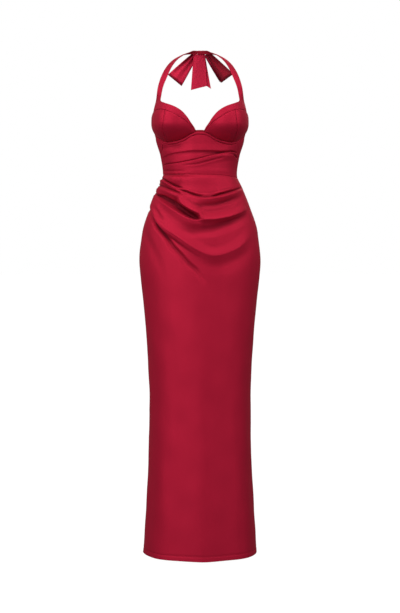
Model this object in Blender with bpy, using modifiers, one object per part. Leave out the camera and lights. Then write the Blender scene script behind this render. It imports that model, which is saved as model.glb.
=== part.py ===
"""Halter maxi dress in satin, filled out as worn and hollow, with its bow at the nape.

Metres, +Z up. The front faces -Y and +X is on the right of someone who looks at the front.
The origin is at the nape, where the neck holds the strap. A place on the cloth is named by an
angle round the body, in degrees, and by its height above the hem. The angle is 0 at the centre
front, 90 at the +X side seam, -90 at the -X side seam and 180 at the centre back.
"""
import math
from collections import namedtuple
from functools import partial

import bmesh
import bpy
from mathutils import Vector

# ---------------------------------------------------------------- driving dimensions
NAPE_HEIGHT = 1.458      # from the hem up to the strap at the nape
NAPE_BACK = 0.060        # from the body's middle back to the nape
CLOTH = 0.0018           # wall of the dress: satin with its lining
RIBBON = 0.0015          # wall of the bow
GAP = 0.0003             # between two pieces at a seam
STRIP_ACROSS = 0.008     # narrow strips along a piece's seams, as shares of its width
STRIP_UP = 0.02          # and of its height
FOLD_GIRTH = 0.150       # mean radius of the body, which turns angles into lengths round it
APEX_HEIGHT = 1.240      # fullest level of the cups
CUP_TOP_FALL = 0.075     # height over which a cup draws in again above that level
CASING_WIDTH = 0.006     # underwire channel
CASING_RISE = 0.0010     # how far the channel stands out
ZIP_TOP = 1.1650         # top edge at the centre back
SLIDER_HEIGHT = 1.1500   # middle of the zip's slider

Section = namedtuple("Section", "height half_width front back")
SECTIONS = (
    Section(0.000, 0.1660, 0.120, 0.120),
    Section(0.150, 0.1570, 0.113, 0.113),
    Section(0.300, 0.1497, 0.107, 0.108),
    Section(0.450, 0.1474, 0.104, 0.108),
    Section(0.600, 0.1535, 0.106, 0.112),
    Section(0.740, 0.1650, 0.108, 0.120),
    Section(0.850, 0.1752, 0.110, 0.128),
    Section(0.930, 0.1672, 0.108, 0.122),
    Section(1.010, 0.1425, 0.098, 0.100),
    Section(1.060, 0.1226, 0.090, 0.086),
    Section(1.100, 0.1066, 0.084, 0.078),
    Section(1.150, 0.1137, 0.086, 0.082),
    Section(1.200, 0.1272, 0.090, 0.092),
    Section(1.250, 0.1305, 0.092, 0.100),
    Section(1.320, 0.1240, 0.086, 0.100),
)

# Seams and edges of the bust, the same on both sides: angle from the centre front, height.
Seam = namedtuple("Seam", "angle height")
WIRE = (Seam(0, 1.2135), Seam(5.5, 1.2138), Seam(13.5, 1.2062), Seam(21, 1.1970), Seam(30, 1.1910),
        Seam(38, 1.1882), Seam(45, 1.1872), Seam(54, 1.1902), Seam(61, 1.1965), Seam(73, 1.2050),
        Seam(84, 1.2140), Seam(92, 1.2290), Seam(97, 1.2430))
NECKLINE = (Seam(4.6, 1.2150), Seam(6.2, 1.2240), Seam(10, 1.2380), Seam(14.2, 1.2550),
            Seam(19.2, 1.2700), Seam(24.5, 1.2798), Seam(30, 1.2865), Seam(36, 1.2917),
            Seam(42, 1.2968))
BAND_SEAM = (Seam(5.1, 1.2152), Seam(7.4, 1.2200), Seam(11.8, 1.2333), Seam(16.5, 1.2450),
             Seam(21.3, 1.2536), Seam(26, 1.2620), Seam(31.3, 1.2690), Seam(37, 1.2742),
             Seam(44, 1.2768), Seam(52, 1.2762), Seam(60, 1.2715))
UNDERARM = (Seam(60, 1.2715), Seam(70, 1.2640), Seam(80, 1.2566), Seam(90, 1.2490),
            Seam(97, 1.2462))
# The seam between the two panels of a cup, from the wire up: its angle at both ends.
CUP_SEAM_FOOT = 45.5
CUP_SEAM_TOP = 36.8
CUP_SEAM_BEND = 2.5      # how soon it turns upright above the wire
# How far a cup stands out from the body, by angle from the centre front.
Fullness = namedtuple("Fullness", "angle out")
CUP = (Fullness(0, 0.002), Fullness(5.5, 0.004), Fullness(12, 0.018), Fullness(20, 0.036),
       Fullness(30, 0.050), Fullness(40, 0.050), Fullness(50, 0.040), Fullness(60, 0.028),
       Fullness(70, 0.0175), Fullness(80, 0.011), Fullness(90, 0.006), Fullness(97, 0.004))

# Heights of the waist seam and of the back's top edge round the body, and the angle of the
# seam between the ruched front and the side panel, by height.
WAIST_SEAM = (Seam(-180, 1.0940), Seam(-90, 1.0985), Seam(-45, 1.0986), Seam(0, 1.0960),
              Seam(36, 1.0947), Seam(57, 1.0920), Seam(90, 1.0895), Seam(180, 1.0940))
BACK_TOP = (Seam(98, 1.2380), Seam(112, 1.2280), Seam(130, 1.2060), Seam(150, 1.1820),
            Seam(165, 1.1700), Seam(180, ZIP_TOP))
Side = namedtuple("Side", "height angle")
SIDE_FRONT = (Side(1.085, 82), Side(1.120, 80), Side(1.150, 72), Side(1.180, 61), Side(1.195, 57))
SIDE_BACK = 112          # degrees, the seam between the side panel and the back

# Folds run round the body. Each point of a fold's path has its angle, its height and how far
# the cloth stands out (or lies in) there; above and below are the fold's widths.
Bend = namedtuple("Bend", "angle height rise")
Fold = namedtuple("Fold", "name above below path")
MIDRIFF_FOLDS = (
    Fold("upper tuck", 0.006, 0.007, (
        Bend(-72, 1.146, 0), Bend(-50, 1.154, 0.0015), Bend(-25, 1.163, 0.0025),
        Bend(3, 1.166, 0.0030), Bend(38, 1.164, 0.0025), Bend(56, 1.164, 0))),
    Fold("hollow under the upper tuck", 0.006, 0.006, (
        Bend(-30, 1.157, 0), Bend(-3, 1.158, -0.0020), Bend(21, 1.158, -0.0030),
        Bend(44, 1.161, -0.0020), Bend(54, 1.164, 0))),
    Fold("crossing tuck", 0.006, 0.016, (
        Bend(-76, 1.117, 0), Bend(-46, 1.120, 0.0020), Bend(-16, 1.126, 0.0020),
        Bend(10, 1.136, 0.0030), Bend(33, 1.149, 0.0050), Bend(52, 1.157, 0.0050),
        Bend(66, 1.151, 0.0040), Bend(80, 1.140, 0.0010))),
    Fold("gap at the crossing tuck", 0.005, 0.008, (
        Bend(46, 1.151, 0), Bend(60, 1.145, -0.0035), Bend(75, 1.134, -0.0040),
        Bend(90, 1.130, 0))),
    Fold("hollow over the waist", 0.010, 0.008, (
        Bend(-80, 1.108, 0), Bend(-50, 1.108, -0.0020), Bend(-10, 1.106, -0.0015),
        Bend(40, 1.104, -0.0020), Bend(80, 1.100, 0))),
)
SKIRT_FOLDS = (
    Fold("first pleat", 0.010, 0.006, (
        Bend(-112, 1.086, 0), Bend(-90, 1.086, 0.0030), Bend(-70, 1.084, 0.0040),
        Bend(-53, 1.084, 0.0045), Bend(-36, 1.075, 0.0040), Bend(-18, 1.064, 0.0030),
        Bend(4, 1.060, 0.0015), Bend(30, 1.066, 0))),
    Fold("crease under the first pleat", 0.006, 0.006, (
        Bend(-95, 1.078, 0), Bend(-75, 1.077, -0.0030), Bend(-53, 1.076, -0.0050),
        Bend(-36, 1.066, -0.0050), Bend(-20, 1.057, -0.0020), Bend(-8, 1.054, 0))),
    Fold("second pleat", 0.008, 0.007, (
        Bend(-116, 1.066, 0), Bend(-90, 1.068, 0.0035), Bend(-66, 1.066, 0.0045),
        Bend(-40, 1.058, 0.0050), Bend(-22, 1.049, 0.0030), Bend(-6, 1.044, 0))),
    Fold("crease under the second pleat", 0.007, 0.007, (
        Bend(-96, 1.058, 0), Bend(-70, 1.057, -0.0030), Bend(-46, 1.051, -0.0040),
        Bend(-28, 1.046, -0.0050), Bend(-12, 1.038, -0.0065), Bend(2, 1.034, -0.0050),
        Bend(14, 1.036, 0))),
    Fold("third pleat", 0.010, 0.010, (
        Bend(-112, 1.044, 0), Bend(-90, 1.047, 0.0030), Bend(-64, 1.045, 0.0055),
        Bend(-42, 1.038, 0.0060), Bend(-28, 1.031, 0.0050), Bend(-16, 1.024, 0))),
    Fold("smile under the waist", 0.008, 0.020, (
        Bend(-24, 1.033, 0), Bend(-10, 1.026, 0.0040), Bend(5, 1.023, 0.0060),
        Bend(18, 1.028, 0.0065), Bend(34, 1.037, 0.0060), Bend(52, 1.047, 0.0050),
        Bend(76, 1.055, 0.0030), Bend(96, 1.058, 0))),
    Fold("crease over the smile", 0.007, 0.006, (
        Bend(8, 1.030, 0), Bend(20, 1.037, -0.0035), Bend(36, 1.046, -0.0045),
        Bend(54, 1.055, -0.0030), Bend(78, 1.061, -0.0030), Bend(92, 1.063, 0))),
    Fold("pocket", 0.013, 0.013, (
        Bend(-96, 1.030, 0), Bend(-70, 1.031, -0.0050), Bend(-46, 1.022, -0.0075),
        Bend(-30, 1.009, -0.0100), Bend(-15, 0.990, -0.0115), Bend(-6, 0.980, -0.0080),
        Bend(1, 0.975, 0))),
    Fold("roll over the pocket", 0.026, 0.015, (
        Bend(-34, 1.030, 0), Bend(-22, 1.016, 0.0060), Bend(-8, 0.998, 0.0085),
        Bend(4, 0.984, 0.0095), Bend(16, 0.978, 0.0085), Bend(30, 0.982, 0.0075),
        Bend(49, 0.993, 0.0060), Bend(66, 1.001, 0.0030), Bend(84, 1.006, 0))),
    Fold("roll under the pocket", 0.010, 0.012, (
        Bend(-112, 1.018, 0), Bend(-90, 1.020, 0.0025), Bend(-66, 1.018, 0.0050),
        Bend(-47, 1.008, 0.0060), Bend(-33, 0.991, 0.0060), Bend(-20, 0.975, 0.0050),
        Bend(-8, 0.962, 0.0040), Bend(6, 0.960, 0))),
    Fold("hollow under the roll", 0.016, 0.018, (
        Bend(-6, 0.944, 0), Bend(8, 0.948, -0.0040), Bend(23, 0.957, -0.0050),
        Bend(40, 0.969, -0.0040), Bend(58, 0.980, 0))),
    Fold("long diagonal", 0.022, 0.014, (
        Bend(-104, 1.004, 0), Bend(-86, 1.006, 0.0040), Bend(-68, 0.998, 0.0070),
        Bend(-54, 0.980, 0.0080), Bend(-40, 0.956, 0.0080), Bend(-25, 0.926, 0.0075),
        Bend(-11, 0.902, 0.0070), Bend(3, 0.883, 0.0060), Bend(16, 0.880, 0.0045),
        Bend(32, 0.892, 0.0035), Bend(48, 0.908, 0.0020), Bend(64, 0.926, 0))),
    Fold("groove under the long diagonal", 0.012, 0.016, (
        Bend(-108, 0.993, 0), Bend(-90, 0.992, -0.0060), Bend(-76, 0.986, -0.0085),
        Bend(-62, 0.970, -0.0085), Bend(-50, 0.950, -0.0075), Bend(-35, 0.921, -0.0070),
        Bend(-24, 0.894, -0.0060), Bend(-13, 0.862, -0.0045), Bend(0, 0.826, 0))),
    Fold("hollow under the long smile", 0.014, 0.020, (
        Bend(-6, 0.858, 0), Bend(8, 0.853, -0.0030), Bend(22, 0.859, -0.0030),
        Bend(38, 0.874, -0.0020), Bend(54, 0.894, 0))),
)
BACK_FOLDS = (
    Fold("back drape over the hip", 0.018, 0.014, (
        Bend(-178, 1.022, 0), Bend(-150, 1.030, 0.0020), Bend(-120, 1.040, 0.0030),
        Bend(-96, 1.050, 0))),
    Fold("back drape at the hip", 0.024, 0.018, (
        Bend(-174, 0.930, 0), Bend(-150, 0.945, 0.0030), Bend(-122, 0.970, 0.0040),
        Bend(-98, 0.995, 0))),
    Fold("hollow of the back drape", 0.020, 0.022, (
        Bend(-170, 0.975, 0), Bend(-146, 0.988, -0.0020), Bend(-118, 1.006, -0.0030),
        Bend(-97, 1.018, 0))),
)
# Soft upright waves of the skirt: angle, half width in degrees, rise at the hem, and the height
# at which the wave begins.
Wave = namedtuple("Wave", "angle spread rise start")
WAVES = (
    Wave(-46, 17, 0.0030, 0.76), Wave(-20, 14, -0.0025, 0.70), Wave(4, 14, 0.0030, 0.72),
    Wave(28, 15, -0.0030, 0.66), Wave(56, 18, 0.0025, 0.74), Wave(112, 20, 0.0030, 0.78),
    Wave(140, 18, -0.0030, 0.72), Wave(166, 14, 0.0025, 0.70), Wave(-164, 14, 0.0025, 0.74),
    Wave(-138, 18, -0.0030, 0.70), Wave(-112, 18, 0.0030, 0.76),
)

# The halter strap of the +X side from the cup to the nape: place (x and y from the body's
# middle, height above the hem), width, and the direction of that width.
Strap = namedtuple("Strap", "x y height width across")
STRAP = (
    Strap(0.1170, -0.0680, 1.3140, 0.0135, (1.00, 0.20, 0.15)),
    Strap(0.1115, -0.0660, 1.3420, 0.0150, (1.00, 0.25, 0.20)),
    Strap(0.1000, -0.0560, 1.3755, 0.0175, (0.95, 0.28, 0.15)),
    Strap(0.0838, -0.0310, 1.4095, 0.0175, (0.88, 0.47, 0.00)),
    Strap(0.0632, 0.0010, 1.4342, 0.0150, (0.80, 0.60, -0.05)),
    Strap(0.0385, 0.0350, 1.4505, 0.0125, (0.63, 0.70, -0.33)),
    Strap(0.0180, 0.0555, 1.4570, 0.0105, (0.15, 0.20, -0.90)),
    Strap(0.0060, 0.0616, 1.4580, 0.0092, (0.00, 0.03, -0.99)),
    Strap(0.0002, 0.0618, 1.4580, 0.0090, (0.00, 0.00, -1.00)),
)

# Bow, from the origin at the nape.
KNOT_MIDDLE = (0.0045, 0.0006)       # x and z; it sits against the back of the strap
KNOT_HALF = (0.0142, 0.0066, 0.0064)
KNOT_LOBE = 0.10                     # share by which its three wraps pinch it
LOOP_CREASE = 0.0012                 # ripples where a loop is gathered at the knot
LOOP_CREASES = 5
LOOP_PINCH = 0.30                    # share of the tip's depth that is left at the knot
TAIL_CURL = 0.0022                   # how far a tail's face curls
TAIL_KICK = 0.0030                   # how far a tail's end stands out from its root
Loop = namedtuple("Loop", "side root tip root_width tip_width tip_half_depth lean")
LOOPS = (
    Loop("left", (-0.0114, 0.0092, -0.0023), (-0.0742, 0.0160, -0.0793), 0.012, 0.0515, 0.0055, 0),
    Loop("right", (0.0197, 0.0092, -0.0030), (0.0787, 0.0170, -0.0733), 0.012, 0.0515, 0.0055, 38),
)
Tail = namedtuple("Tail", "name depth top_left top_right low_left low_right")
TAILS = (
    Tail("front", 0.0062, (-0.0135, -0.0062), (0.0128, -0.0062), (-0.0267, -0.1082),
         (0.0197, -0.0963)),
    Tail("back", 0.0125, (-0.0050, -0.0063), (0.0140, -0.0063), (-0.0120, -0.0746),
         (0.0323, -0.1038)),
)

# Concealed zip at the centre back.
SLIDER = (0.0070, 0.0016, 0.0105)     # plate: width, thickness, height
BRIDGE_THICK = 0.0012                 # bow of the slider that holds the pull
BRIDGE_ROOM = 0.0026                  # free depth under the bridge
BRIDGE_LENGTH = 0.0068
PULL_LENGTH = 0.024
PULL_WIDTH = 0.0062
PULL_THICK = 0.0010
PULL_BAR = 0.0012                     # bar at the pull's top, which turns under the bridge
PULL_EYE = (0.0030, 0.0046)           # width and height of the eye round the bridge


# ---------------------------------------------------------------- reading the tables
def slope_at(xs, ys, index):
    """Slope of a smooth curve through the points that never overshoots them."""
    if index == 0:
        return (ys[1] - ys[0]) / (xs[1] - xs[0])
    if index == len(xs) - 1:
        return (ys[-1] - ys[-2]) / (xs[-1] - xs[-2])
    before = (ys[index] - ys[index - 1]) / (xs[index] - xs[index - 1])
    after = (ys[index + 1] - ys[index]) / (xs[index + 1] - xs[index])
    if before * after <= 0:
        return 0.0
    return 2 * before * after / (before + after)


def read(table, at, column=1):
    """A column of a table, read smoothly at a value of its first column."""
    xs = [row[0] for row in table]
    ys = [row[column] for row in table]
    if at <= xs[0]:
        return ys[0]
    if at >= xs[-1]:
        return ys[-1]
    index = max(i for i in range(len(xs) - 1) if xs[i] <= at)
    length = xs[index + 1] - xs[index]
    t = (at - xs[index]) / length
    start = slope_at(xs, ys, index) * length
    end = slope_at(xs, ys, index + 1) * length
    return ((2 * t**3 - 3 * t**2 + 1) * ys[index] + (t**3 - 2 * t**2 + t) * start
            + (3 * t**2 - 2 * t**3) * ys[index + 1] + (t**3 - t**2) * end)


def mix(a, b, t):
    return a + (b - a) * t


def bump(t):
    """1 at 0, falling smoothly to nothing at -1 and 1."""
    return (1 - t * t) ** 2 if abs(t) < 1 else 0.0


# ---------------------------------------------------------------- the body of the dress
def from_hem(x, y, height):
    """A place measured from the body's middle and the hem, in the part's own frame."""
    return Vector((x, y - NAPE_BACK, height - NAPE_HEIGHT))


def body(angle, height, out=0.0):
    """The outer face of the cloth at an angle and a height, moved out along the section."""
    turn = math.radians(angle)
    half_width = read(SECTIONS, height, 1)
    depth = read(SECTIONS, height, 2 if math.cos(turn) > 0 else 3)
    x, y = half_width * math.sin(turn), -depth * math.cos(turn)
    away = Vector((math.sin(turn) / half_width, -math.cos(turn) / depth)).normalized()
    return from_hem(x + out * away.x, y + out * away.y, height)


def fold_rise(folds, angle, height):
    """How far a set of folds moves the cloth out."""
    total = 0.0
    for fold in folds:
        path = fold.path
        if not path[0].angle < angle < path[-1].angle:
            continue
        middle = read(path, angle, 1)
        run = math.radians(2) * FOLD_GIRTH
        climb = (read(path, angle + 1, 1) - read(path, angle - 1, 1)) / run
        away = (height - middle) / math.hypot(1, climb)
        width = fold.above if away > 0 else fold.below
        total += read(path, angle, 2) * bump(away / width)
    return total


def wave_rise(angle, height):
    """The soft upright waves of the skirt."""
    total = 0.0
    for wave in WAVES:
        if height < wave.start:
            down = 1 - height / wave.start
            total += wave.rise * math.sin(down * math.pi / 2) * bump((angle - wave.angle) / wave.spread)
    return total


def skirt(angle, height):
    rise = fold_rise(SKIRT_FOLDS + BACK_FOLDS, angle, height) + wave_rise(angle, height)
    return body(angle, height, rise)


def midriff(angle, height):
    return body(angle, height, fold_rise(MIDRIFF_FOLDS, angle, height))


def bust(angle, height):
    """The outer face of a cup, or of the halter's band above it."""
    side = abs(angle)
    wire = read(WIRE, side)
    full = read(CUP, side)
    if height <= wire:
        return body(angle, height)
    if height < APEX_HEIGHT:
        t = min((height - wire) / max(APEX_HEIGHT - wire, 0.020), 1)
        return body(angle, height, full * math.sin(math.pi / 2 * t) ** 0.75)
    fall = 0.45 * ((height - APEX_HEIGHT) / CUP_TOP_FALL) ** 2
    return body(angle, height, full * (1 - fall))


# ---------------------------------------------------------------- making the pieces
def clear_scene():
    for item in list(bpy.data.objects):
        bpy.data.objects.remove(item)


def new_material(name, color, roughness, metallic=0.0):
    material = bpy.data.materials.new(name)
    material.use_nodes = True
    shader = material.node_tree.nodes["Principled BSDF"]
    shader.inputs["Base Color"].default_value = (*color, 1)
    shader.inputs["Roughness"].default_value = roughness
    shader.inputs["Metallic"].default_value = metallic
    material.diffuse_color = (*color, 1)
    return material


def satin(name, shade=1.0):
    return new_material(name + "_satin", (0.34 * shade, 0.010 * shade, 0.026 * shade), 0.34)


def metal(name):
    return new_material(name + "_enamel", (0.20, 0.008, 0.016), 0.30, 0.35)


def add(name, mesh, material):
    item = bpy.data.objects.new(name, mesh)
    mesh.materials.append(material)
    bpy.data.collections["halter_maxi_dress"].objects.link(item)
    return item


def spaced(index, count, edge):
    """Share of the way across a piece, with a narrow strip along both of its edges."""
    if index in (0, count):
        return index / count
    return mix(edge, 1 - edge, (index - 1) / (count - 2))


def cloth(name, surface, columns, rows, wall=CLOTH, shade=1.0):
    """A piece of cloth over surface(s, t), whose s and t run from 0 to 1 across and up.

    The surface is the piece's outer face, seen with s to the right and t up. The narrow strip
    along each seam keeps the wall square to the cloth there, so that two pieces meet face to
    face.
    """
    grid = bmesh.new()
    bmesh.ops.create_grid(grid, x_segments=columns, y_segments=rows, size=0.5)
    for corner in grid.verts:
        column = round((corner.co.x + 0.5) * columns)
        row = round((corner.co.y + 0.5) * rows)
        s, t = column / columns, row / rows
        if columns > 3:
            s = spaced(column, columns, STRIP_ACROSS)
        if rows > 3:
            t = spaced(row, rows, STRIP_UP)
        corner.co = surface(s, t)
    mesh = bpy.data.meshes.new(name)
    grid.to_mesh(mesh)
    grid.free()
    mesh.shade_smooth()
    piece = add(name, mesh, satin(name, shade))
    shell = piece.modifiers.new("wall", "SOLIDIFY")
    shell.thickness = wall
    shell.offset = -1
    return piece


def on_side(surface, side):
    """The same surface on the +X side (side 1) or mirrored to the -X side (side -1)."""
    if side > 0:
        return surface

    def mirrored(s, t):
        place = surface(1 - s, t)
        return Vector((-place.x, place.y, place.z))
    return mirrored


SIDES = (("left", -1), ("right", 1))


# ---------------------------------------------------------------- cups, halter and casing
def degrees_for(length):
    """The angle that a length round the body takes up."""
    return math.degrees(length / FOLD_GIRTH)


def cup_panel(foot_from, foot_to, top_from, top_to, top_edge):
    """A panel of the cup between two angles at the wire and two at its top edge."""
    def surface(s, t):
        foot = mix(foot_from, foot_to, s)
        top = mix(top_from, top_to, s)
        low = read(WIRE, foot) + GAP
        high = top_edge(s, top) - GAP
        lean = (1 - t) ** CUP_SEAM_BEND
        return bust(top + (foot - top) * lean, mix(low, high, t))
    return surface


CUP_CORNER = 0.56        # share of the outer panel's top that lies on the band seam


def outer_top(s, _):
    """Height of the outer panel's top: along the band's seam, then down to the underarm."""
    angle = outer_top_angle(s)
    return read(BAND_SEAM if s <= CUP_CORNER else UNDERARM, angle)


def outer_top_angle(s):
    if s <= CUP_CORNER:
        return mix(CUP_SEAM_TOP + degrees_for(GAP), 60, s / CUP_CORNER)
    return mix(60, 96.6, (s - CUP_CORNER) / (1 - CUP_CORNER))


def outer_panel(s, t):
    foot = mix(CUP_SEAM_FOOT + degrees_for(GAP), 96.4, s)
    top = outer_top_angle(s)
    low = read(WIRE, foot) + GAP
    high = outer_top(s, top) - (GAP if s <= CUP_CORNER else 0)
    lean = (1 - t) ** CUP_SEAM_BEND
    return bust(top + (foot - top) * lean, mix(low, high, t))


STRAP_ROWS = tuple((i / (len(STRAP) - 1), row.x, row.y, row.height, row.width, *row.across)
                   for i, row in enumerate(STRAP))


def strap_middle(t):
    return from_hem(*(read(STRAP_ROWS, t, column) for column in (1, 2, 3)))


def strap_frame(t):
    """Middle, width and direction across the strap of the +X side, t from 0 at the cup to 1."""
    along = (strap_middle(min(t + 0.01, 1)) - strap_middle(max(t - 0.01, 0))).normalized()
    across = Vector([read(STRAP_ROWS, t, column) for column in (5, 6, 7)])
    across -= along * across.dot(along)
    return strap_middle(t), read(STRAP_ROWS, t, 4), across.normalized()


BAND_SHARE = 0.50        # share of the halter's rows that lie on the cup
CORNER_SHARE = 0.36      # where the band seam ends and its outer edge turns up to the strap
STRAP_INNER = (50.0, 1.3080)
STRAP_OUTER = (62.5, 1.3115)
BAND_END = (60.0, 1.2718)
CORNER_ANGLE = 42.0


def halter_edges(t):
    """Inner and outer edge of the halter on the cup, t from 0 at the V to 1 at the strap."""
    turn = CORNER_SHARE / BAND_SHARE
    if t < turn:
        share = t / turn
        inner = mix(4.9, CORNER_ANGLE, share ** 0.9)
        outer = mix(6.6, BAND_END[0], share ** 0.9)
        return (inner, read(NECKLINE, inner)), (outer, read(BAND_SEAM, outer) + GAP)
    share = (t - turn) / (1 - turn)
    corner = (CORNER_ANGLE, read(NECKLINE, CORNER_ANGLE))
    inner = [mix(corner[i], STRAP_INNER[i], share) for i in range(2)]
    outer = [mix(BAND_END[i], STRAP_OUTER[i], share) for i in range(2)]
    return inner, outer


def halter(s, t):
    """s runs from the inner edge to the outer one on the +X side, t from the V to the nape."""
    if t <= BAND_SHARE:
        inner, outer = halter_edges(t / BAND_SHARE)
        return bust(mix(inner[0], outer[0], s), mix(inner[1], outer[1], s))
    along = (t - BAND_SHARE) / (1 - BAND_SHARE)
    middle, width, across = strap_frame(along)
    return middle + across * width * (s - 0.5)


def casing_edge(angle, width):
    """The place a width below the wire line and square to it: its angle and height."""
    run = math.radians(1) * FOLD_GIRTH
    tilt = math.atan((read(WIRE, angle + 0.5) - read(WIRE, angle - 0.5)) / run)
    return Seam(angle + degrees_for(width * math.sin(tilt)),
                read(WIRE, angle) - width * math.cos(tilt))


CASING_END = 96.4        # angle at which the channel ends under the arm
CASING_FOOT = tuple(casing_edge(CASING_END * i / 60, CASING_WIDTH) for i in range(61))


def casing(s, t):
    """The underwire channel, from one underarm over the bridge to the other."""
    angle = mix(-CASING_END, CASING_END, s)
    edge = casing_edge(abs(angle), mix(CASING_WIDTH, GAP / 2, t))
    return body(math.copysign(edge.angle, angle), edge.height, CASING_RISE)


def casing_foot(angle):
    """Height of the pieces that end under the channel."""
    return read(CASING_FOOT, abs(angle)) - GAP * 1.7


# ---------------------------------------------------------------- bodice and skirt
BODICE_ROWS = 11         # the same on both sides of a seam, so that its edges agree


def midriff_front(s, t):
    """The ruched front between the side panels, from the waist seam to the casing."""
    low_edge = read(SIDE_FRONT, 1.092) - degrees_for(GAP / 2)
    top_edge = read(SIDE_FRONT, 1.190) - degrees_for(GAP / 2)
    reach = mix(low_edge, top_edge, t)
    for _ in range(9):
        angle = mix(-reach, reach, s)
        height = mix(read(WAIST_SEAM, angle) + GAP / 2, casing_foot(angle), t)
        reach = read(SIDE_FRONT, height) - degrees_for(GAP / 2)
    return midriff(angle, height)


def side_top(angle):
    """Top of a side panel: under the casing, then along the back's edge."""
    if angle < CASING_FOOT[-1].angle:
        return casing_foot(angle)
    return read(BACK_TOP, angle)


def bodice_side(s, t, side=1):
    """The smooth panel from the ruched front round to the back."""
    front = read(SIDE_FRONT, 1.150)
    for _ in range(9):
        angle = mix(front + degrees_for(GAP / 2), SIDE_BACK - degrees_for(GAP / 2), s)
        low = read(WAIST_SEAM, side * angle) + GAP / 2
        height = mix(low, side_top(angle), t)
        front = read(SIDE_FRONT, height)
    return body(angle, height)


def bodice_back(s, t, side=1):
    angle = mix(SIDE_BACK + degrees_for(GAP / 2), 180, s)
    height = mix(read(WAIST_SEAM, side * angle) + GAP / 2, read(BACK_TOP, angle), t)
    place = body(angle, height)
    place.x = max(place.x, GAP / 2)
    return place


# Rows of the skirt's front follow its folds, which fan out from the -X side seam: they lie
# between the waist seam and this line, and more loosely below it.
DRAPE_LINE = (Seam(-90, 0.970), Seam(-62, 0.948), Seam(-38, 0.896), Seam(-12, 0.818),
              Seam(10, 0.795), Seam(36, 0.815), Seam(62, 0.850), Seam(90, 0.880))
DRAPE_ROWS = 28
PLAIN_ROWS = 10
BACK_DRAPE_FOOT = 0.860
BACK_DRAPE_ROWS = 13
BACK_PLAIN_ROWS = 7


def skirt_front(s, t):
    reach = 90 - degrees_for(GAP / 2)
    angle = mix(-reach, reach, s)
    row = t * (PLAIN_ROWS + DRAPE_ROWS)
    fold_line = read(DRAPE_LINE, angle)
    if row <= PLAIN_ROWS:
        return skirt(angle, mix(0.0, fold_line, row / PLAIN_ROWS))
    top = read(WAIST_SEAM, angle) - GAP / 2
    return skirt(angle, mix(fold_line, top, (row - PLAIN_ROWS) / DRAPE_ROWS))


def skirt_back(s, t, side=1):
    """A back panel between its side seam and the centre back, for one side."""
    angle = mix(90 + degrees_for(GAP / 2), 180, s)
    top = read(WAIST_SEAM, side * angle) - GAP / 2
    row = t * (BACK_PLAIN_ROWS + BACK_DRAPE_ROWS)
    if row <= BACK_PLAIN_ROWS:
        height = mix(0.0, BACK_DRAPE_FOOT, row / BACK_PLAIN_ROWS)
    else:
        height = mix(BACK_DRAPE_FOOT, top, (row - BACK_PLAIN_ROWS) / BACK_DRAPE_ROWS)
    place = skirt(side * angle, height)
    place.x = side * max(abs(place.x), GAP / 2)
    return place


def skirt_back_left(s, t):
    return skirt_back(1 - s, t, -1)


# ---------------------------------------------------------------- bow
def bow_loop(loop):
    """A ribbon that runs out from the knot, folds over at the tip and comes back."""
    root, tip = Vector(loop.root), Vector(loop.tip)
    along = tip - root
    flat = Vector((-along.z, 0, along.x)).normalized()
    if flat.z < 0:
        flat = -flat
    lean = math.radians(loop.lean)
    across = (flat * math.cos(lean) + Vector((0, 1, 0)) * math.sin(lean)).normalized()
    behind = along.cross(across).normalized()
    if behind.y < 0:
        behind = -behind

    def surface(s, t):
        turn = t * 2 - 1
        out = 1 - abs(turn) ** 2.2
        layer = math.copysign(min(1, abs(turn) * 3.2), turn)
        depth = loop.tip_half_depth * mix(LOOP_PINCH, 1, out) * layer
        width = mix(loop.root_width, loop.tip_width, min(1, out ** 0.8))
        crease = LOOP_CREASE * math.cos(s * math.pi * LOOP_CREASES) * (1 - out) ** 1.5
        return root + along * out + behind * (depth + crease) + across * width * (s - 0.5)
    return surface


def bow_tail(tail):
    """A ribbon end that hangs from the knot and is cut on a slant."""
    def surface(s, t):
        left = [mix(tail.low_left[i], tail.top_left[i], t) for i in range(2)]
        right = [mix(tail.low_right[i], tail.top_right[i], t) for i in range(2)]
        x, z = mix(left[0], right[0], s), mix(left[1], right[1], s)
        curl = TAIL_CURL * math.sin(s * math.pi * 1.6) * mix(0.4, 1, t)
        return Vector((x, tail.depth - curl + TAIL_KICK * (1 - t), z))
    return surface


def bow_knot():
    ball = bmesh.new()
    bmesh.ops.create_uvsphere(ball, u_segments=14, v_segments=9, radius=1)
    for corner in ball.verts:
        x, y, z = corner.co
        waist = 1 - KNOT_LOBE * math.cos(3 * math.atan2(z, y))
        square = 1 / max(abs(x) ** 4 + (y * y + z * z) ** 2, 1e-9) ** 0.25
        corner.co = Vector((x * square * KNOT_HALF[0], y * square * waist * KNOT_HALF[1],
                            z * square * waist * KNOT_HALF[2]))
    front = min(corner.co.y for corner in ball.verts)
    mesh = bpy.data.meshes.new("bow_knot")
    ball.to_mesh(mesh)
    ball.free()
    mesh.shade_smooth()
    knot = add("bow_knot", mesh, satin("bow_knot"))
    knot.location = (KNOT_MIDDLE[0], CLOTH + GAP - front, KNOT_MIDDLE[1])
    return knot


# ---------------------------------------------------------------- zip
def box_mesh(size, middle):
    box = bmesh.new()
    bmesh.ops.create_cube(box, size=1)
    for corner in box.verts:
        corner.co = Vector([corner.co[i] * size[i] + middle[i] for i in range(3)])
    mesh = bpy.data.meshes.new("block")
    box.to_mesh(mesh)
    box.free()
    return mesh


def rounded(item, width):
    edge = item.modifiers.new("round", "BEVEL")
    edge.width = width
    edge.segments = 2
    edge.limit_method = "ANGLE"


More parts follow.
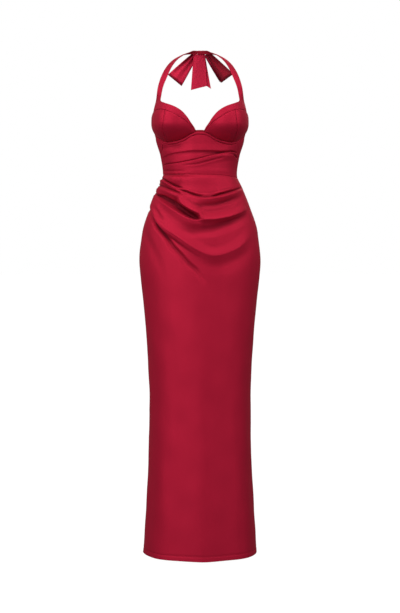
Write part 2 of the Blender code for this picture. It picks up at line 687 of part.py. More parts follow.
def zip_slider(middle, tilt):
    """A plate on the seam with a bridge over the pull's bar."""
    width, thick, height = SLIDER
    slider = add("zip_slider", box_mesh((width, thick, height), (0, thick / 2, 0)),
                 metal("zip_slider"))
    outer = thick + BRIDGE_ROOM + BRIDGE_THICK
    end = BRIDGE_LENGTH / 2 - BRIDGE_THICK / 2
    blocks = (
        ((0.0016, outer - thick / 2, BRIDGE_THICK), (0, (outer + thick / 2) / 2, end)),
        ((0.0016, outer - thick / 2, BRIDGE_THICK), (0, (outer + thick / 2) / 2, -end)),
        ((0.0016, BRIDGE_THICK, BRIDGE_LENGTH), (0, outer - BRIDGE_THICK / 2, 0)),
    )
    for size, place in blocks:
        block = bpy.data.objects.new("bridge_block", box_mesh(size, place))
        block.hide_render = True
        block.display_type = "WIRE"
        block.location = middle
        block.rotation_euler.x = tilt
        bpy.data.collections["cutters"].objects.link(block)
        union = slider.modifiers.new("bridge", "BOOLEAN")
        union.operation = "UNION"
        union.object = block
    rounded(slider, 0.00025)
    slider.location = middle
    slider.rotation_euler.x = tilt


def zip_pull(axis):
    """A flat drop with an eye, hanging from the bar that turns under the bridge."""
    outline = bpy.data.curves.new("zip_pull", "CURVE")
    outline.dimensions = "2D"
    outline.fill_mode = "BOTH"
    outline.extrude = PULL_THICK / 2
    foot = -PULL_LENGTH + PULL_WIDTH / 2
    low = [(PULL_WIDTH / 2 * math.cos(a), foot + PULL_WIDTH / 2 * math.sin(a))
           for a in (math.radians(-180 + 18 * i) for i in range(11))]
    head = PULL_BAR / 2
    shoulder = 0.0024
    drop = low + [(shoulder, -PULL_EYE[1] - head), (shoulder, head), (-shoulder, head),
                  (-shoulder, -PULL_EYE[1] - head)]
    half = PULL_EYE[0] / 2
    eye = [(-half, -head - PULL_EYE[1]), (half, -head - PULL_EYE[1]), (half, -head), (-half, -head)]
    for points in (drop, eye):
        spline = outline.splines.new("POLY")
        spline.points.add(len(points) - 1)
        spline.use_cyclic_u = True
        for point, (x, y) in zip(spline.points, points):
            point.co = (x, y, 0, 1)
    pull = bpy.data.objects.new("zip_pull", outline)
    outline.materials.append(metal("zip_pull"))
    bpy.data.collections["halter_maxi_dress"].objects.link(pull)
    pull.rotation_euler.x = math.pi / 2
    pull.location = axis
    return pull


# ---------------------------------------------------------------- the dress
def build_dress():
    clear_scene()
    for name in ("halter_maxi_dress", "cutters"):
        bpy.context.scene.collection.children.link(bpy.data.collections.new(name))

    inner_panel = cup_panel(5.9, CUP_SEAM_FOOT - degrees_for(GAP), 6.1,
                            CUP_SEAM_TOP - degrees_for(GAP), lambda s, a: read(BAND_SEAM, a))
    for name, side in SIDES:
        cloth("cup_inner_" + name, on_side(inner_panel, side), 12, 8)
        cloth("cup_outer_" + name, on_side(outer_panel, side), 12, 8)
        cloth("halter_" + name, on_side(halter, side), 2, 28)
        cloth("bodice_side_" + name, on_side(partial(bodice_side, side=side), side), 14, BODICE_ROWS)
        cloth("bodice_back_" + name, on_side(partial(bodice_back, side=side), side), 8, BODICE_ROWS)
    cloth("underbust_casing", casing, 60, 1)
    cloth("midriff_front", midriff_front, 30, BODICE_ROWS)
    cloth("skirt_front", skirt_front, 40, DRAPE_ROWS + PLAIN_ROWS)
    cloth("skirt_back_right", skirt_back, 10, BACK_PLAIN_ROWS + BACK_DRAPE_ROWS)
    cloth("skirt_back_left", skirt_back_left, 10, BACK_PLAIN_ROWS + BACK_DRAPE_ROWS)

    bow_knot()
    for loop in LOOPS:
        cloth("bow_loop_" + loop.side, bow_loop(loop), 3, 22, RIBBON)
    for tail in TAILS:
        cloth("bow_tail_" + tail.name, bow_tail(tail), 4, 6, RIBBON)

    seat = body(180, SLIDER_HEIGHT)
    above, below = body(180, SLIDER_HEIGHT + 0.005), body(180, SLIDER_HEIGHT - 0.005)
    tilt = -math.atan2(above.y - below.y, above.z - below.z)
    away = Vector((0, math.cos(tilt), math.sin(tilt)))
    seat.x = 0
    slider_place = seat + away * GAP
    zip_slider(slider_place, tilt)
    zip_pull(slider_place + away * (SLIDER[1] + BRIDGE_ROOM / 2))


build_dress()
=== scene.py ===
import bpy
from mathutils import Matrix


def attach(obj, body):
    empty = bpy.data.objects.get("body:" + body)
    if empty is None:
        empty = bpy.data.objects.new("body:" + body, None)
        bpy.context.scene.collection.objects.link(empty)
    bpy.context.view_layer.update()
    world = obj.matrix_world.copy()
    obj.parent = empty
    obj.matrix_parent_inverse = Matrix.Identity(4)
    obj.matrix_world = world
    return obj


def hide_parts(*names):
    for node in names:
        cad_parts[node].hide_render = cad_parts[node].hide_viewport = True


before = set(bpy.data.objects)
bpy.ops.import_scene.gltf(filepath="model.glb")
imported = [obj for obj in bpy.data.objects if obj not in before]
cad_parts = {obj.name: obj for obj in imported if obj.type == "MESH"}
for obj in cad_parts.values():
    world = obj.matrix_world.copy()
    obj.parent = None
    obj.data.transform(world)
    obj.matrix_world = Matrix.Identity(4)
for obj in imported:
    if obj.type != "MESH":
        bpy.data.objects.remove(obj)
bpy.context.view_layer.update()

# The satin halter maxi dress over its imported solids: finer cloth with pressed seams, sharper folds
# and stitching, satin materials, a pale studio and the photograph's camera. Metres, +Z up, the
# front faces -Y, and the origin is at the nape. A place on the cloth is named by its angle round
# the body (0 at the centre front, 90 at the +X side seam) and its height above the hem.
import math
from collections import namedtuple
from functools import partial

import bmesh
import bpy
import numpy as np
from mathutils import Vector

BODY = "dress"
NAPE_HEIGHT = 1.458
NAPE_BACK = 0.060
CLOTH = 0.0012           # wall of the shells
RIBBON = 0.0010
STRAP_WALL = 0.0018      # the strap under the knot
GAP = 0.0003             # between two pieces at a seam
HALF_GAP = GAP / 2
FOLD_GIRTH = 0.150       # mean radius of the body, which turns angles into lengths round it
APEX_HEIGHT = 1.240
CUP_TOP_FALL = 0.075
CUP_ROUNDNESS = 0.75     # power of the rise from the wire to the apex: less is rounder
CUP_TOP_EASE = 0.45      # share of the fullness that is lost over CUP_TOP_FALL above it
CASING_WIDTH = 0.006
CASING_RISE = 0.0010

# ---------------- tables, as in the part's source
# Sections of the body: height, half width, depth in front and depth behind.
SECTIONS = ((0, 0.166, 0.12, 0.12), (0.15, 0.157, 0.113, 0.113), (0.3, 0.1497, 0.107, 0.108),
            (0.45, 0.1474, 0.104, 0.108), (0.6, 0.1535, 0.106, 0.112), (0.74, 0.165, 0.108, 0.12),
            (0.85, 0.1752, 0.11, 0.128), (0.93, 0.1672, 0.108, 0.122), (1.01, 0.1425, 0.098, 0.1),
            (1.06, 0.1226, 0.09, 0.086), (1.1, 0.1066, 0.084, 0.078), (1.15, 0.1137, 0.086, 0.082),
            (1.2, 0.1272, 0.09, 0.092), (1.25, 0.1305, 0.092, 0.1), (1.32, 0.124, 0.086, 0.1))
# Seams and edges, the same on both sides up to the waist: angle and height.
WIRE = ((0, 1.2139), (3, 1.2138), (6, 1.2129), (9.5, 1.2101), (13.5, 1.2062), (21, 1.197),
        (30, 1.191), (38, 1.1882), (45, 1.1872), (54, 1.1902), (61, 1.1965), (73, 1.205),
        (84, 1.214), (92, 1.229), (97, 1.243))
NECKLINE = ((4.6, 1.215), (6.2, 1.224), (10, 1.238), (14.2, 1.255), (19.2, 1.27), (24.5, 1.2798),
            (30, 1.2865), (36, 1.2917), (42, 1.2968))
BAND_SEAM = ((5.1, 1.2152), (7.4, 1.22), (11.8, 1.2333), (16.5, 1.245), (21.3, 1.2536),
             (26, 1.262), (31.3, 1.269), (37, 1.2742), (44, 1.2768), (52, 1.2762), (60, 1.2715))
UNDERARM = ((60, 1.2715), (70, 1.264), (80, 1.2566), (90, 1.249), (97, 1.2462))
WAIST_SEAM = ((-180, 1.094), (-90, 1.0985), (-45, 1.0986), (0, 1.096), (36, 1.0947), (57, 1.092),
              (90, 1.0895), (180, 1.094))
BACK_TOP = ((98, 1.238), (112, 1.228), (130, 1.206), (150, 1.182), (165, 1.17), (180, 1.165))
CUP_SEAM_FOOT = 45.5
CUP_SEAM_TOP = 36.8
CUP_SEAM_BEND = 2.5
# Fullness of a cup: angle, and how far it stands out.
CUP = ((0, 0.002), (5.5, 0.004), (12, 0.018), (19, 0.0345), (25, 0.044), (30, 0.0486),
       (35, 0.0508), (40, 0.05), (50, 0.0402), (60, 0.028), (70, 0.0175), (80, 0.011), (90, 0.006),
       (97, 0.004))
# The seam between the ruched front and the side panel: height and angle.
SIDE_FRONT = ((1.085, 82), (1.12, 80), (1.15, 72), (1.18, 61), (1.195, 57))
SIDE_BACK = 112

# Folds, in millimetres: the widths of a fold above and below its line, and a narrow one is a sharp
# edge, then the bends of its line, each with its angle, its height and how far the cloth stands
# out there. Over and under give its curve on either side: 2 is round, 1 a sharp crest that eases
# off, and 3 or more a flat top with steep sides. Taper narrows it where it rises less.
Bend = namedtuple("Bend", "angle height rise", defaults=(0,))
Fold = namedtuple("Fold", "name above below path over under taper")


def fold(name, above, below, *bends, over=2, under=2, taper=0):
    return Fold(name, above, below, tuple(Bend(*bend) for bend in bends), over, under, taper)


POCKET = fold("pocket", 13.2, 12.2, (-72, 1042), (-60, 1037, -3.6), (-50, 1030, -7.6),
    (-41, 1021.5, -11), (-31, 1011.5, -13.8), (-21, 998.5, -15.4), (-12, 986, -15.8),
    (-6, 979.2, -15), (-2.5, 976.5, -12), (-0.5, 975.5, -7), (1, 975), over=3.4, under=4,
    taper=0.5)
GAP_AT_THE_GATHERS = fold("gap at the gathers", 2.6, 3.4, (-92, 1016), (-84, 1009.5, -4),
    (-76, 1002.6, -7.4), (-67, 990.8, -8), (-60, 980, -5.8), (-54, 971.5))
MIDRIFF_FOLDS = (
    fold("upper tuck", 20, 2.6, (-80, 1144), (-62, 1150.5, 2), (-47, 1155.6, 2.4),
         (-23, 1161, 2.2), (-4, 1163.8, 2), (17, 1163.6, 2.2), (39, 1162.2, 2.2), (58, 1161)),
    fold("hollow under the upper tuck", 4.5, 10, (-34, 1154), (-12, 1157.5, -1), (18, 1159, -2),
         (40, 1158.2, -2.4), (56, 1159)),
    fold("crossing tuck", 2.5, 26, (-82, 1120), (-63, 1124.2, 2.4), (-38, 1126.7, 2.8),
         (-19, 1131.4, 3), (-3, 1137.5, 3.2), (13, 1146, 3.6), (30, 1153.6, 4), (43, 1158, 4.2),
         (51, 1159.2, 4), (60, 1157, 3), (72, 1150, 1), (80, 1145)),
    fold("line over the crossing tuck", 2.6, 1.8, (-84, 1122.2), (-63, 1126.4, -1.8),
         (-38, 1129.1, -2), (-19, 1133.8, -2), (-3, 1139.8, -1.8), (13, 1148.4, -1.6),
         (30, 1156, -1.4), (40, 1159.4)),
    fold("small crease of the crossing tuck", 3.5, 6, (-30, 1121.5), (-6, 1125.5, -1.4),
         (10, 1133, -1.8), (28, 1142, -1.4), (40, 1147)),
    fold("gap at the crossing tuck", 4, 3, (26, 1159), (38, 1160.6, -2.4), (50, 1162.2, -3.4),
         (60, 1161, -2), (68, 1158)),
    fold("crease under the end of the crossing tuck", 2.6, 6, (44, 1157), (52, 1155.6, -1.4),
         (59, 1152.4, -3.4), (66, 1149, -4.2), (70, 1146.8, -2.4), (73, 1145.2)),
    fold("hollow over the tuck on the left", 12, 10, (-76, 1174), (-60, 1174, -1.6),
         (-44, 1174, -2.2), (-32, 1174, -2), (-23, 1174)),
    fold("waist crease on the left", 6, 4, (-84, 1108.5), (-66, 1108, -1.6), (-40, 1106, -1),
         (-20, 1105)),
    fold("slack over the waist", 10, 8, (-50, 1109), (-10, 1107.5, 0.6), (30, 1106.5, 0.8),
         (70, 1103)),
)
SKIRT_FOLDS = (
    fold("swell under the waist", 7, 26, (-96, 1088), (-72, 1088.5, 3.2), (-60, 1088.5, 6.6),
         (-50, 1088.5, 9), (-40, 1088, 10.8), (-31, 1087.5, 10.6), (-24, 1087, 6.8),
         (-16, 1087, 5.2), (-6, 1087, 4.4), (6, 1087, 3.4), (20, 1086.5, 2.4), (40, 1086, 1.8),
         (70, 1085)),
    fold("crease under the swell", 3.8, 3.4, (-92, 1088), (-73, 1086.8, -4.4), (-58, 1081.2, -7),
         (-45, 1072.8, -7.8), (-36, 1065.3, -6.6), (-29, 1060.8, -4), (-21, 1056)),
    fold("first pleat", 3, 8, (-110, 1082), (-90, 1083, 2.4), (-73, 1083, 3.2), (-58, 1076.5, 3.8),
         (-45, 1067.5, 3.8), (-29, 1056, 3.4), (-17, 1051, 2.8), (-9, 1045, 2.8), (2, 1040, 2.4),
         (14, 1040)),
    fold("nick under the first pleat", 3, 3, (-104, 1069), (-86, 1068, -3.4), (-71, 1066.4, -2.8),
         (-60, 1063, -1), (-54, 1061)),
    fold("crease over the second pleat", 3, 3.8, (-60, 1064), (-43, 1055.1, -2.6),
         (-36, 1050.8, -3.6), (-29, 1046.1, -3), (-22, 1040)),
    fold("deep crease over the smile", 4.8, 4, (-33, 1056), (-27, 1053.1, -3.6),
         (-22, 1050.4, -6.6), (-17, 1047.4, -8.4), (-9, 1040.9, -8.8), (-2, 1036.6, -6),
         (5, 1034.5)),
    fold("second pleat", 5, 24, (-112, 1056), (-90, 1058, 2.2), (-70, 1059, 3.8),
         (-56, 1054.5, 4.8), (-43, 1049, 5), (-34, 1043, 4.6), (-26, 1038, 3.6),
         (-18, 1034.5, 1.6), (-10, 1032.5), under=1.3),
    fold("smile under the waist", 4.5, 20, (-20, 1036.8), (-11, 1033.4, 2.2), (-4, 1029.6, 3.6),
         (3, 1026.2, 5.2), (10, 1027.2, 6.4), (17, 1030, 7.6), (25, 1033.2, 8.4),
         (35, 1038.5, 8.2), (45, 1043.9, 6.6), (58, 1049.8, 4), (70, 1053.6, 1.4), (80, 1056.2),
         under=1.2),
    fold("wedge over the smile", 5.8, 2.8, (13, 1031.8), (17, 1034.4, -4), (21, 1037, -7),
         (27, 1041, -7.8), (35, 1044.6, -5.8), (48, 1050, -3.8), (62, 1056, -2.6),
         (77, 1060, -1.6), (88, 1063)),
    fold("edge over the wedge", 6, 3, (12, 1036), (20, 1041, 1.4), (27, 1046, 2.2),
         (36, 1049, 1.2), (44, 1052)),
    fold("band under the smile", 12, 11, (-12, 1009), (-4, 1007.5, -1.4), (6, 1008.2, -2.8),
         (15, 1009.3, -3.4), (26, 1015.5, -3.8), (38, 1022.9, -3.4), (54, 1032.1, -2), (70, 1040)),
    fold("seam line over the pocket", 5.5, 2.2, (-104, 1050), (-84, 1046, -3.4),
         (-69, 1037.5, -4.2), (-60, 1032, -4), (-50, 1023.6, -2.4), (-42, 1015.5)),
    fold("hollow beside the tongue", 12, 14, (-66, 1044), (-50, 1037, -2.4), (-38, 1029.5, -5),
         (-31, 1024, -6), (-28.5, 1021.5, -5.2), (-25.5, 1018)),
    POCKET,
    fold("roll over the pocket", 23, 15, (-28.5, 1031), (-25, 1024, 4.4), (-20, 1012.6, 7.6),
         (-12, 998, 9.6), (-5, 987, 10.8), (0, 976.5, 11.2), (5, 969, 11.2), (13, 969.4, 12),
         (21, 972.4, 12.2), (29, 976.3, 11.8), (37, 981.2, 10.6), (48, 988.8, 8.2), (58, 995.2, 5),
         (66, 999.5), under=1.1),
    fold("lip under the pocket", 4, 40, (-112, 1036), (-90, 1039, 2.2), (-70, 1034.5, 3.4),
         (-60, 1028.2, 4.2), (-49, 1018, 6), (-35, 1002.8, 8.2), (-21, 984, 9.6),
         (-10, 970.8, 8.8), (-4, 967.6, 6), (2, 967.2, 2.2), (8, 968), under=1.1),
    fold("hollow under the lip and the roll", 19, 26, (-34, 970), (-24, 956, -1), (-14, 945, -2.4),
         (-6, 940, -4.4), (2, 940, -6.2), (10, 941, -6.4), (20, 948, -5.8), (30, 957.5, -4.6),
         (42, 969, -3.2), (56, 981, -1.8), (72, 992)),
    fold("hollow inside the diagonal", 10, 9, (-70, 1010), (-58, 999, -2.4), (-52, 989, -3.4),
         (-46, 977, -2.8), (-36, 960)),
    fold("long diagonal", 40, 15, (-104, 1012), (-86, 1014, 2.6), (-68, 1004.5, 6.6),
         (-58, 988, 8.4), (-51, 971.8, 8.8), (-41, 953.5, 8.6), (-34, 942, 8.4), (-23, 924, 7.6),
         (-14, 906.5, 5.6), (-6, 890.5, 3), (1, 878, 1), (7, 870.5), over=1.5, under=3.5),
    fold("long smile", 30, 34, (-30, 935.5), (-23, 924, 0.6), (-14, 906.5, 2.4), (-6, 890.5, 5),
         (1, 878, 7), (7, 870.5, 8), (13, 867.6, 8.2), (20, 870.5, 7.8), (30, 880, 7),
         (38, 889.2, 6), (45, 900, 4.6), (52, 913, 2.8), (64, 930), over=1.6, under=1),
    fold("crest of the long diagonal", 3, 4, (-46, 962.5), (-34, 942.4, 1.2), (-23, 924.4, 1.8),
         (-14, 907, 2), (-6, 891, 1.8), (1, 878.5, 1), (8, 870)),
    GAP_AT_THE_GATHERS,
    fold("groove under the long diagonal", 6.5, 15, (-108, 1002), (-92, 1005, -4),
         (-82, 1000.5, -9), (-71, 990, -11.8), (-58, 974.5, -11.2), (-50, 957.5, -10),
         (-40, 936, -9), (-34, 920.5, -8.2), (-27, 897.5, -7.2), (-18, 871.4, -6.2),
         (-12, 851.3, -5.4), (-3, 826.4, -4.2), (2, 806.1, -1.8), (6, 793)),
    fold("hollow under the long smile", 20, 34, (-6, 864), (4, 846, -0.6), (14, 840, -1.2),
         (24, 844, -1.4), (32, 852, -1.4), (46, 868, -1), (60, 885)),
    fold("low sag of the hip", 36, 40, (6, 790), (24, 805, 1), (44, 835, 1.3), (64, 870, 0.8),
         (84, 895)),
    fold("side pull at the hip", 20, 20, (-84, 950), (-70, 930, -1.6), (-56, 900, -2),
         (-44, 860, -1.2), (-34, 820)),
)
BACK_FOLDS = (
    fold("back drape over the hip", 18, 10, (-178, 1022), (-150, 1030, 2.4), (-120, 1040, 3.6),
         (-96, 1050)),
    fold("crease of the back drape", 5, 6, (-168, 1006), (-146, 1013, -1.8), (-122, 1024, -2.6),
         (-98, 1037)),
    fold("back drape at the hip", 24, 16, (-174, 930), (-150, 945, 3.4), (-122, 970, 4.6),
         (-98, 995)),
    fold("hollow of the back drape", 20, 22, (-170, 975), (-146, 988, -2.2), (-118, 1006, -3.4),
         (-97, 1018)),
    fold("low hollow of the back", 20, 26, (-172, 890), (-148, 905, -2.4), (-122, 935, -2.6),
         (-100, 965)),
    fold("smile under the back waist", 6, 16, (100, 1064), (124, 1056, 2.4), (150, 1050, 2.8),
         (172, 1048)),
    fold("sag over the seat", 22, 26, (98, 950), (124, 930, -2.2), (150, 918, -2.6), (174, 915)),
)
POCKET_FLOOR = 0.0140    # depth at which the pocket's shadow is full
POCKET_SHADE = 2.4       # and how late it comes
# Depth at which the painted shadow in the gap at the gathers is full.
GATHERS_FLOOR = 0.0060
# Soft upright waves of the skirt: angle, spread, rise, and the height at which they start.
WAVES = ((-46, 17, 0.003, 0.76), (-20, 14, -0.0025, 0.7), (4, 14, 0.003, 0.72),
         (28, 15, -0.003, 0.66), (56, 18, 0.0025, 0.74), (112, 20, 0.003, 0.78),
         (140, 18, -0.003, 0.72), (166, 14, 0.0025, 0.7), (-164, 14, 0.0025, 0.74),
         (-138, 18, -0.003, 0.7), (-112, 18, 0.003, 0.76))
# The strap of the +X side, from the cup to the nape: x, y, height, width and the direction across.
STRAP = ((0.117, -0.068, 1.314, 0.0135, 1, 0.2, 0.15),
         (0.1115, -0.066, 1.342, 0.015, 1, 0.25, 0.2),
         (0.1, -0.056, 1.3755, 0.0175, 0.95, 0.28, 0.15),
         (0.0838, -0.031, 1.4095, 0.0175, 0.88, 0.47, 0),
         (0.0632, 0.001, 1.4342, 0.015, 0.8, 0.6, -0.05),
         (0.0385, 0.035, 1.4505, 0.0125, 0.63, 0.7, -0.33),
         (0.018, 0.0555, 1.457, 0.0105, 0.15, 0.2, -0.9),
         (0.006, 0.0616, 1.458, 0.0092, 0, 0.03, -0.99), (0.0002, 0.0618, 1.458, 0.009, 0, 0, -1))
KNOT_MIDDLE = (0.0045, 0.0006)
KNOT_HALF = (0.0142, 0.0066, 0.0064)
Loop = namedtuple("Loop", "side root tip root_width tip_width tip_half_depth lean")
LOOPS = (
    Loop("left", (-0.0114, 0.0092, -0.0023), (-0.0742, 0.0160, -0.0793), 0.012, 0.0515, 0.0055, 0),
    Loop("right", (0.0197, 0.0092, -0.0030), (0.0787, 0.0170, -0.0733), 0.012, 0.0515, 0.0055, 38),
)
Tail = namedtuple("Tail", "name depth top_left top_right low_left low_right")
TAILS = (
    Tail("front", 0.0062, (-0.0190, -0.0052), (0.0146, -0.0048), (-0.0267, -0.1082),
         (0.0197, -0.0963)),
    Tail("back", 0.0125, (-0.0050, -0.0045), (0.0140, -0.0045), (-0.0120, -0.0746),
         (0.0323, -0.1038)),
)


# ---------------- reading the tables
def read(table, at, column=1):
    """A column of a table, read smoothly at values of its first column."""
    xs = np.array([row[0] for row in table], float)
    ys = np.array([row[column] for row in table], float)
    steps = np.diff(ys) / np.diff(xs)
    slopes = np.concatenate([steps[:1], np.zeros(len(xs) - 2), steps[-1:]])
    both = steps[:-1] * steps[1:]
    total = np.where(both > 0, steps[:-1] + steps[1:], 1)
    slopes[1:-1] = np.where(both > 0, 2 * both / total, 0)
    at = np.clip(at, xs[0], xs[-1])
    i = np.clip(np.searchsorted(xs, at, side="right") - 1, 0, len(xs) - 2)
    length = xs[i + 1] - xs[i]
    t = (at - xs[i]) / length
    return ((2 * t**3 - 3 * t**2 + 1) * ys[i] + (t**3 - 2 * t**2 + t) * slopes[i] * length
            + (3 * t**2 - 2 * t**3) * ys[i + 1] + (t**3 - t**2) * slopes[i + 1] * length)


def mix(a, b, t):
    return a + (b - a) * t


def bump(t, edge=2):
    """1 at 0, falling smoothly to nothing at -1 and 1."""
    return np.clip(1 - np.abs(t) ** edge, 0, 1) ** 2


def degrees_for(length):
    """The angle that a length round the body takes up."""
    return math.degrees(length / FOLD_GIRTH)


def place(x, y, z):
    return np.stack(np.broadcast_arrays(x, y, z), axis=-1)


def from_hem(x, y, height):
    return place(x, y - NAPE_BACK, height - NAPE_HEIGHT)


def body(angle, height, out=0.0):
    """The outer face of the cloth at an angle and a height, moved out along the section."""
    turn = np.radians(angle)
    half_width = read(SECTIONS, height, 1)
    depth = np.where(np.cos(turn) > 0, read(SECTIONS, height, 2), read(SECTIONS, height, 3))
    away_x, away_y = np.sin(turn) / half_width, -np.cos(turn) / depth
    size = np.hypot(away_x, away_y)
    return from_hem(half_width * np.sin(turn) + out * away_x / size,
                    -depth * np.cos(turn) + out * away_y / size, height)


def fold_rise(folds, angle, height):
    """How far a set of folds moves the cloth out."""
    total = np.zeros(np.broadcast(angle, height).shape)
    run, height = math.radians(2) * FOLD_GIRTH * 1000, height * 1000
    for fold in folds:
        path = fold.path
        inside = (angle > path[0].angle) & (angle < path[-1].angle)
        climb = (read(path, angle + 1) - read(path, angle - 1)) / run
        away = (height - read(path, angle)) / np.hypot(1, climb)
        rise = np.where(inside, read(path, angle, 2), 0)
        most = max(abs(bend.rise) for bend in path)
        away = away / np.maximum(np.abs(rise) / most, 0.01) ** fold.taper
        total += rise * np.where(away > 0, bump(away / fold.above, fold.over),
                                 bump(away / fold.below, fold.under))
    return total / 1000


def wave_rise(angle, height):
    """The soft upright waves of the skirt."""
    total = np.zeros(np.broadcast(angle, height).shape)
    for middle, spread, rise, start in WAVES:
        down = np.clip(1 - height / start, 0, 1)
        total += rise * np.sin(down * math.pi / 2) * bump((angle - middle) / spread)
    return total


# Small unevenness that any worn cloth has: wave lengths round and up in metres, size and phase.
RIPPLES = ((0.083, 0.31, 0.00022, 0.3), (0.127, 0.19, 0.00020, 1.7), (-0.061, 0.27, 0.00014, 2.9),
           (0.213, 0.113, 0.00024, 4.1), (-0.157, 0.087, 0.00012, 5.3), (0.047, 0.43, 0.00009, 0.9))


def ripple(angle, height):
    """Unevenness of the cloth, in metres out."""
    along = np.radians(angle) * FOLD_GIRTH
    total = np.zeros(np.broadcast(angle, height).shape)
    for girth, rise, size, phase in RIPPLES:
        total += size * np.sin(2 * math.pi * (along / girth + height / rise) + phase)
    return total


HEM_DEPTH = 0.014        # turned-up hem
HEM_WALL = 0.0004        # how far the turned cloth fills it out
HEM_STEP = 0.0012        # height over which it does so
HEM_GROOVE = 0.00064     # pressed in by the hem's stitches
HEM_GROOVE_WIDTH = 0.0016


def skirt(angle, height):
    rise = fold_rise(SKIRT_FOLDS + BACK_FOLDS, angle, height) + wave_rise(angle, height)
    hem = HEM_WALL * np.clip((HEM_DEPTH - height) / HEM_STEP + 0.5, 0, 1)
    groove = HEM_GROOVE * np.exp(-((height - HEM_DEPTH) / HEM_GROOVE_WIDTH) ** 2)
    return body(angle, height, rise + ripple(angle, height) + hem - groove)


def midriff(angle, height):
    return body(angle, height, fold_rise(MIDRIFF_FOLDS, angle, height) + ripple(angle, height))


def bust(angle, height):
    """The outer face of a cup, or of the halter's band above it."""
    side = np.abs(angle)
    wire = read(WIRE, side)
    full = read(CUP, side)
    t = np.clip((height - wire) / np.maximum(APEX_HEIGHT - wire, 0.020), 0, 1)
    low = full * np.sin(math.pi / 2 * t) ** CUP_ROUNDNESS
    high = full * (1 - CUP_TOP_EASE * ((height - APEX_HEIGHT) / CUP_TOP_FALL) ** 2)
    return body(angle, height, np.where(height < APEX_HEIGHT, low, high))


# ---------------- materials
def fill(node, **values):
    """Sets the sockets of a node: Mortar_Size is its socket Mortar Size."""
    for name, value in values.items():
        node.inputs[name.replace("_", " ")].default_value = value
    return node


def shader_kit(owner):
    """Ways to add nodes to a material or a world, to link them, and its own shader."""
    owner.use_nodes = True
    tree = owner.node_tree

    def node(kind, **values):
        return fill(tree.nodes.new("ShaderNode" + kind), **values)
    return node, tree.links.new, tree.nodes.get("Principled BSDF")


def set_ramp(node, *stops):
    for element, (position, color) in zip(node.color_ramp.elements, stops):
        element.position, element.color = position, (*color, 1)


def satin(name, light, deep, metallic, roughness, sheen, thread=0.06):
    """Satin: long floats and soft slubs of thread, a fine bump, and painted shade in creases and
    pockets.
    """
    material = bpy.data.materials.new(name)
    node, link, shader = shader_kit(material)
    fill(shader, Metallic=metallic, Sheen_Weight=sheen, Sheen_Roughness=0.38,
         Sheen_Tint=(1.0, 0.10, 0.18, 1), Specular_Tint=(1.0, 0.20, 0.28, 1),
         Specular_IOR_Level=0.35, IOR=1.46)
    uv = node("UVMap")
    uv.uv_map = "cloth"

    def noise(scale, detail):
        stretch = node("Mapping", Scale=scale)
        link(uv.outputs[0], stretch.inputs[0])
        texture = node("TexNoise", Scale=1.0, Detail=detail)
        link(stretch.outputs[0], texture.inputs["Vector"])
        return texture.outputs[0]

    def combine(operation, a, b):
        math_node = node("Math")
        math_node.operation = operation
        link(a, math_node.inputs[0])
        link(b, math_node.inputs[1])
        return math_node.outputs[0]

    def spread(value, low, high):
        ranged = node("MapRange", To_Min=low, To_Max=high)
        link(value, ranged.inputs["Value"])
        return ranged.outputs[0]

    slubs = noise((1400, 34, 1), 2.0)       # threads run up the cloth
    patches = noise((16, 11, 1), 3.0)
    # Painted shade: the colour goes from light towards deep in creases and pockets.
    depth = node("Attribute")
    depth.attribute_name = "painted_fold_shade"
    color = node("Mix")
    color.data_type = "RGBA"
    color.inputs[6].default_value = (*light, 1)
    color.inputs[7].default_value = (*deep, 1)
    link(spread(depth.outputs["Fac"], 0.0, DEEPEST_PAINTED_SHADE), color.inputs[0])
    tone = node("HueSaturation")
    link(color.outputs[2], tone.inputs["Color"])
    link(combine("MULTIPLY", spread(slubs, 0.96, 1.04), spread(patches, 0.98, 1.02)),
         tone.inputs["Value"])
    link(tone.outputs[0], shader.inputs["Base Color"])
    link(combine("ADD", spread(slubs, -0.03, 0.03),
                 spread(patches, roughness - 0.02, roughness + 0.02)), shader.inputs["Roughness"])

    weave = node("TexBrick", Scale=1.0, Brick_Width=0.00032, Row_Height=0.0016,
                 Mortar_Size=0.00004, Mortar_Smooth=1.0, Color1=(1, 1, 1, 1),
                 Color2=(0.8, 0.8, 0.8, 1), Mortar=(0, 0, 0, 1))   # a brick is one float
    link(uv.outputs[0], weave.inputs["Vector"])
    threads = node("Bump", Strength=thread, Distance=0.0001)
    link(weave.outputs[0], threads.inputs["Height"])
    slack = node("Bump", Strength=0.25, Distance=0.0004)
    link(noise((46, 30, 1), 2.0), slack.inputs["Height"])
    link(threads.outputs[0], slack.inputs["Normal"])
    link(slack.outputs[0], shader.inputs["Normal"])
    return material


def enamel(name, color, roughness):
    """Dyed metal with fine scratches in its colour and gloss."""
    material = bpy.data.materials.new(name)
    node, link, shader = shader_kit(material)
    fill(shader, Metallic=0.5, Coat_Weight=0.4)
    texture = node("TexNoise", Scale=900)
    link(node("TexCoord").outputs["Object"], texture.inputs["Vector"])
    ramp = node("ValToRGB")
    set_ramp(ramp, (0, [part * 0.8 for part in color]), (1, color))
    gloss = node("MapRange", To_Min=roughness - 0.08, To_Max=roughness + 0.10)
    link(texture.outputs[0], ramp.inputs[0])
    link(texture.outputs[0], gloss.inputs["Value"])
    link(ramp.outputs[0], shader.inputs["Base Color"])
    link(gloss.outputs[0], shader.inputs["Roughness"])
    return material


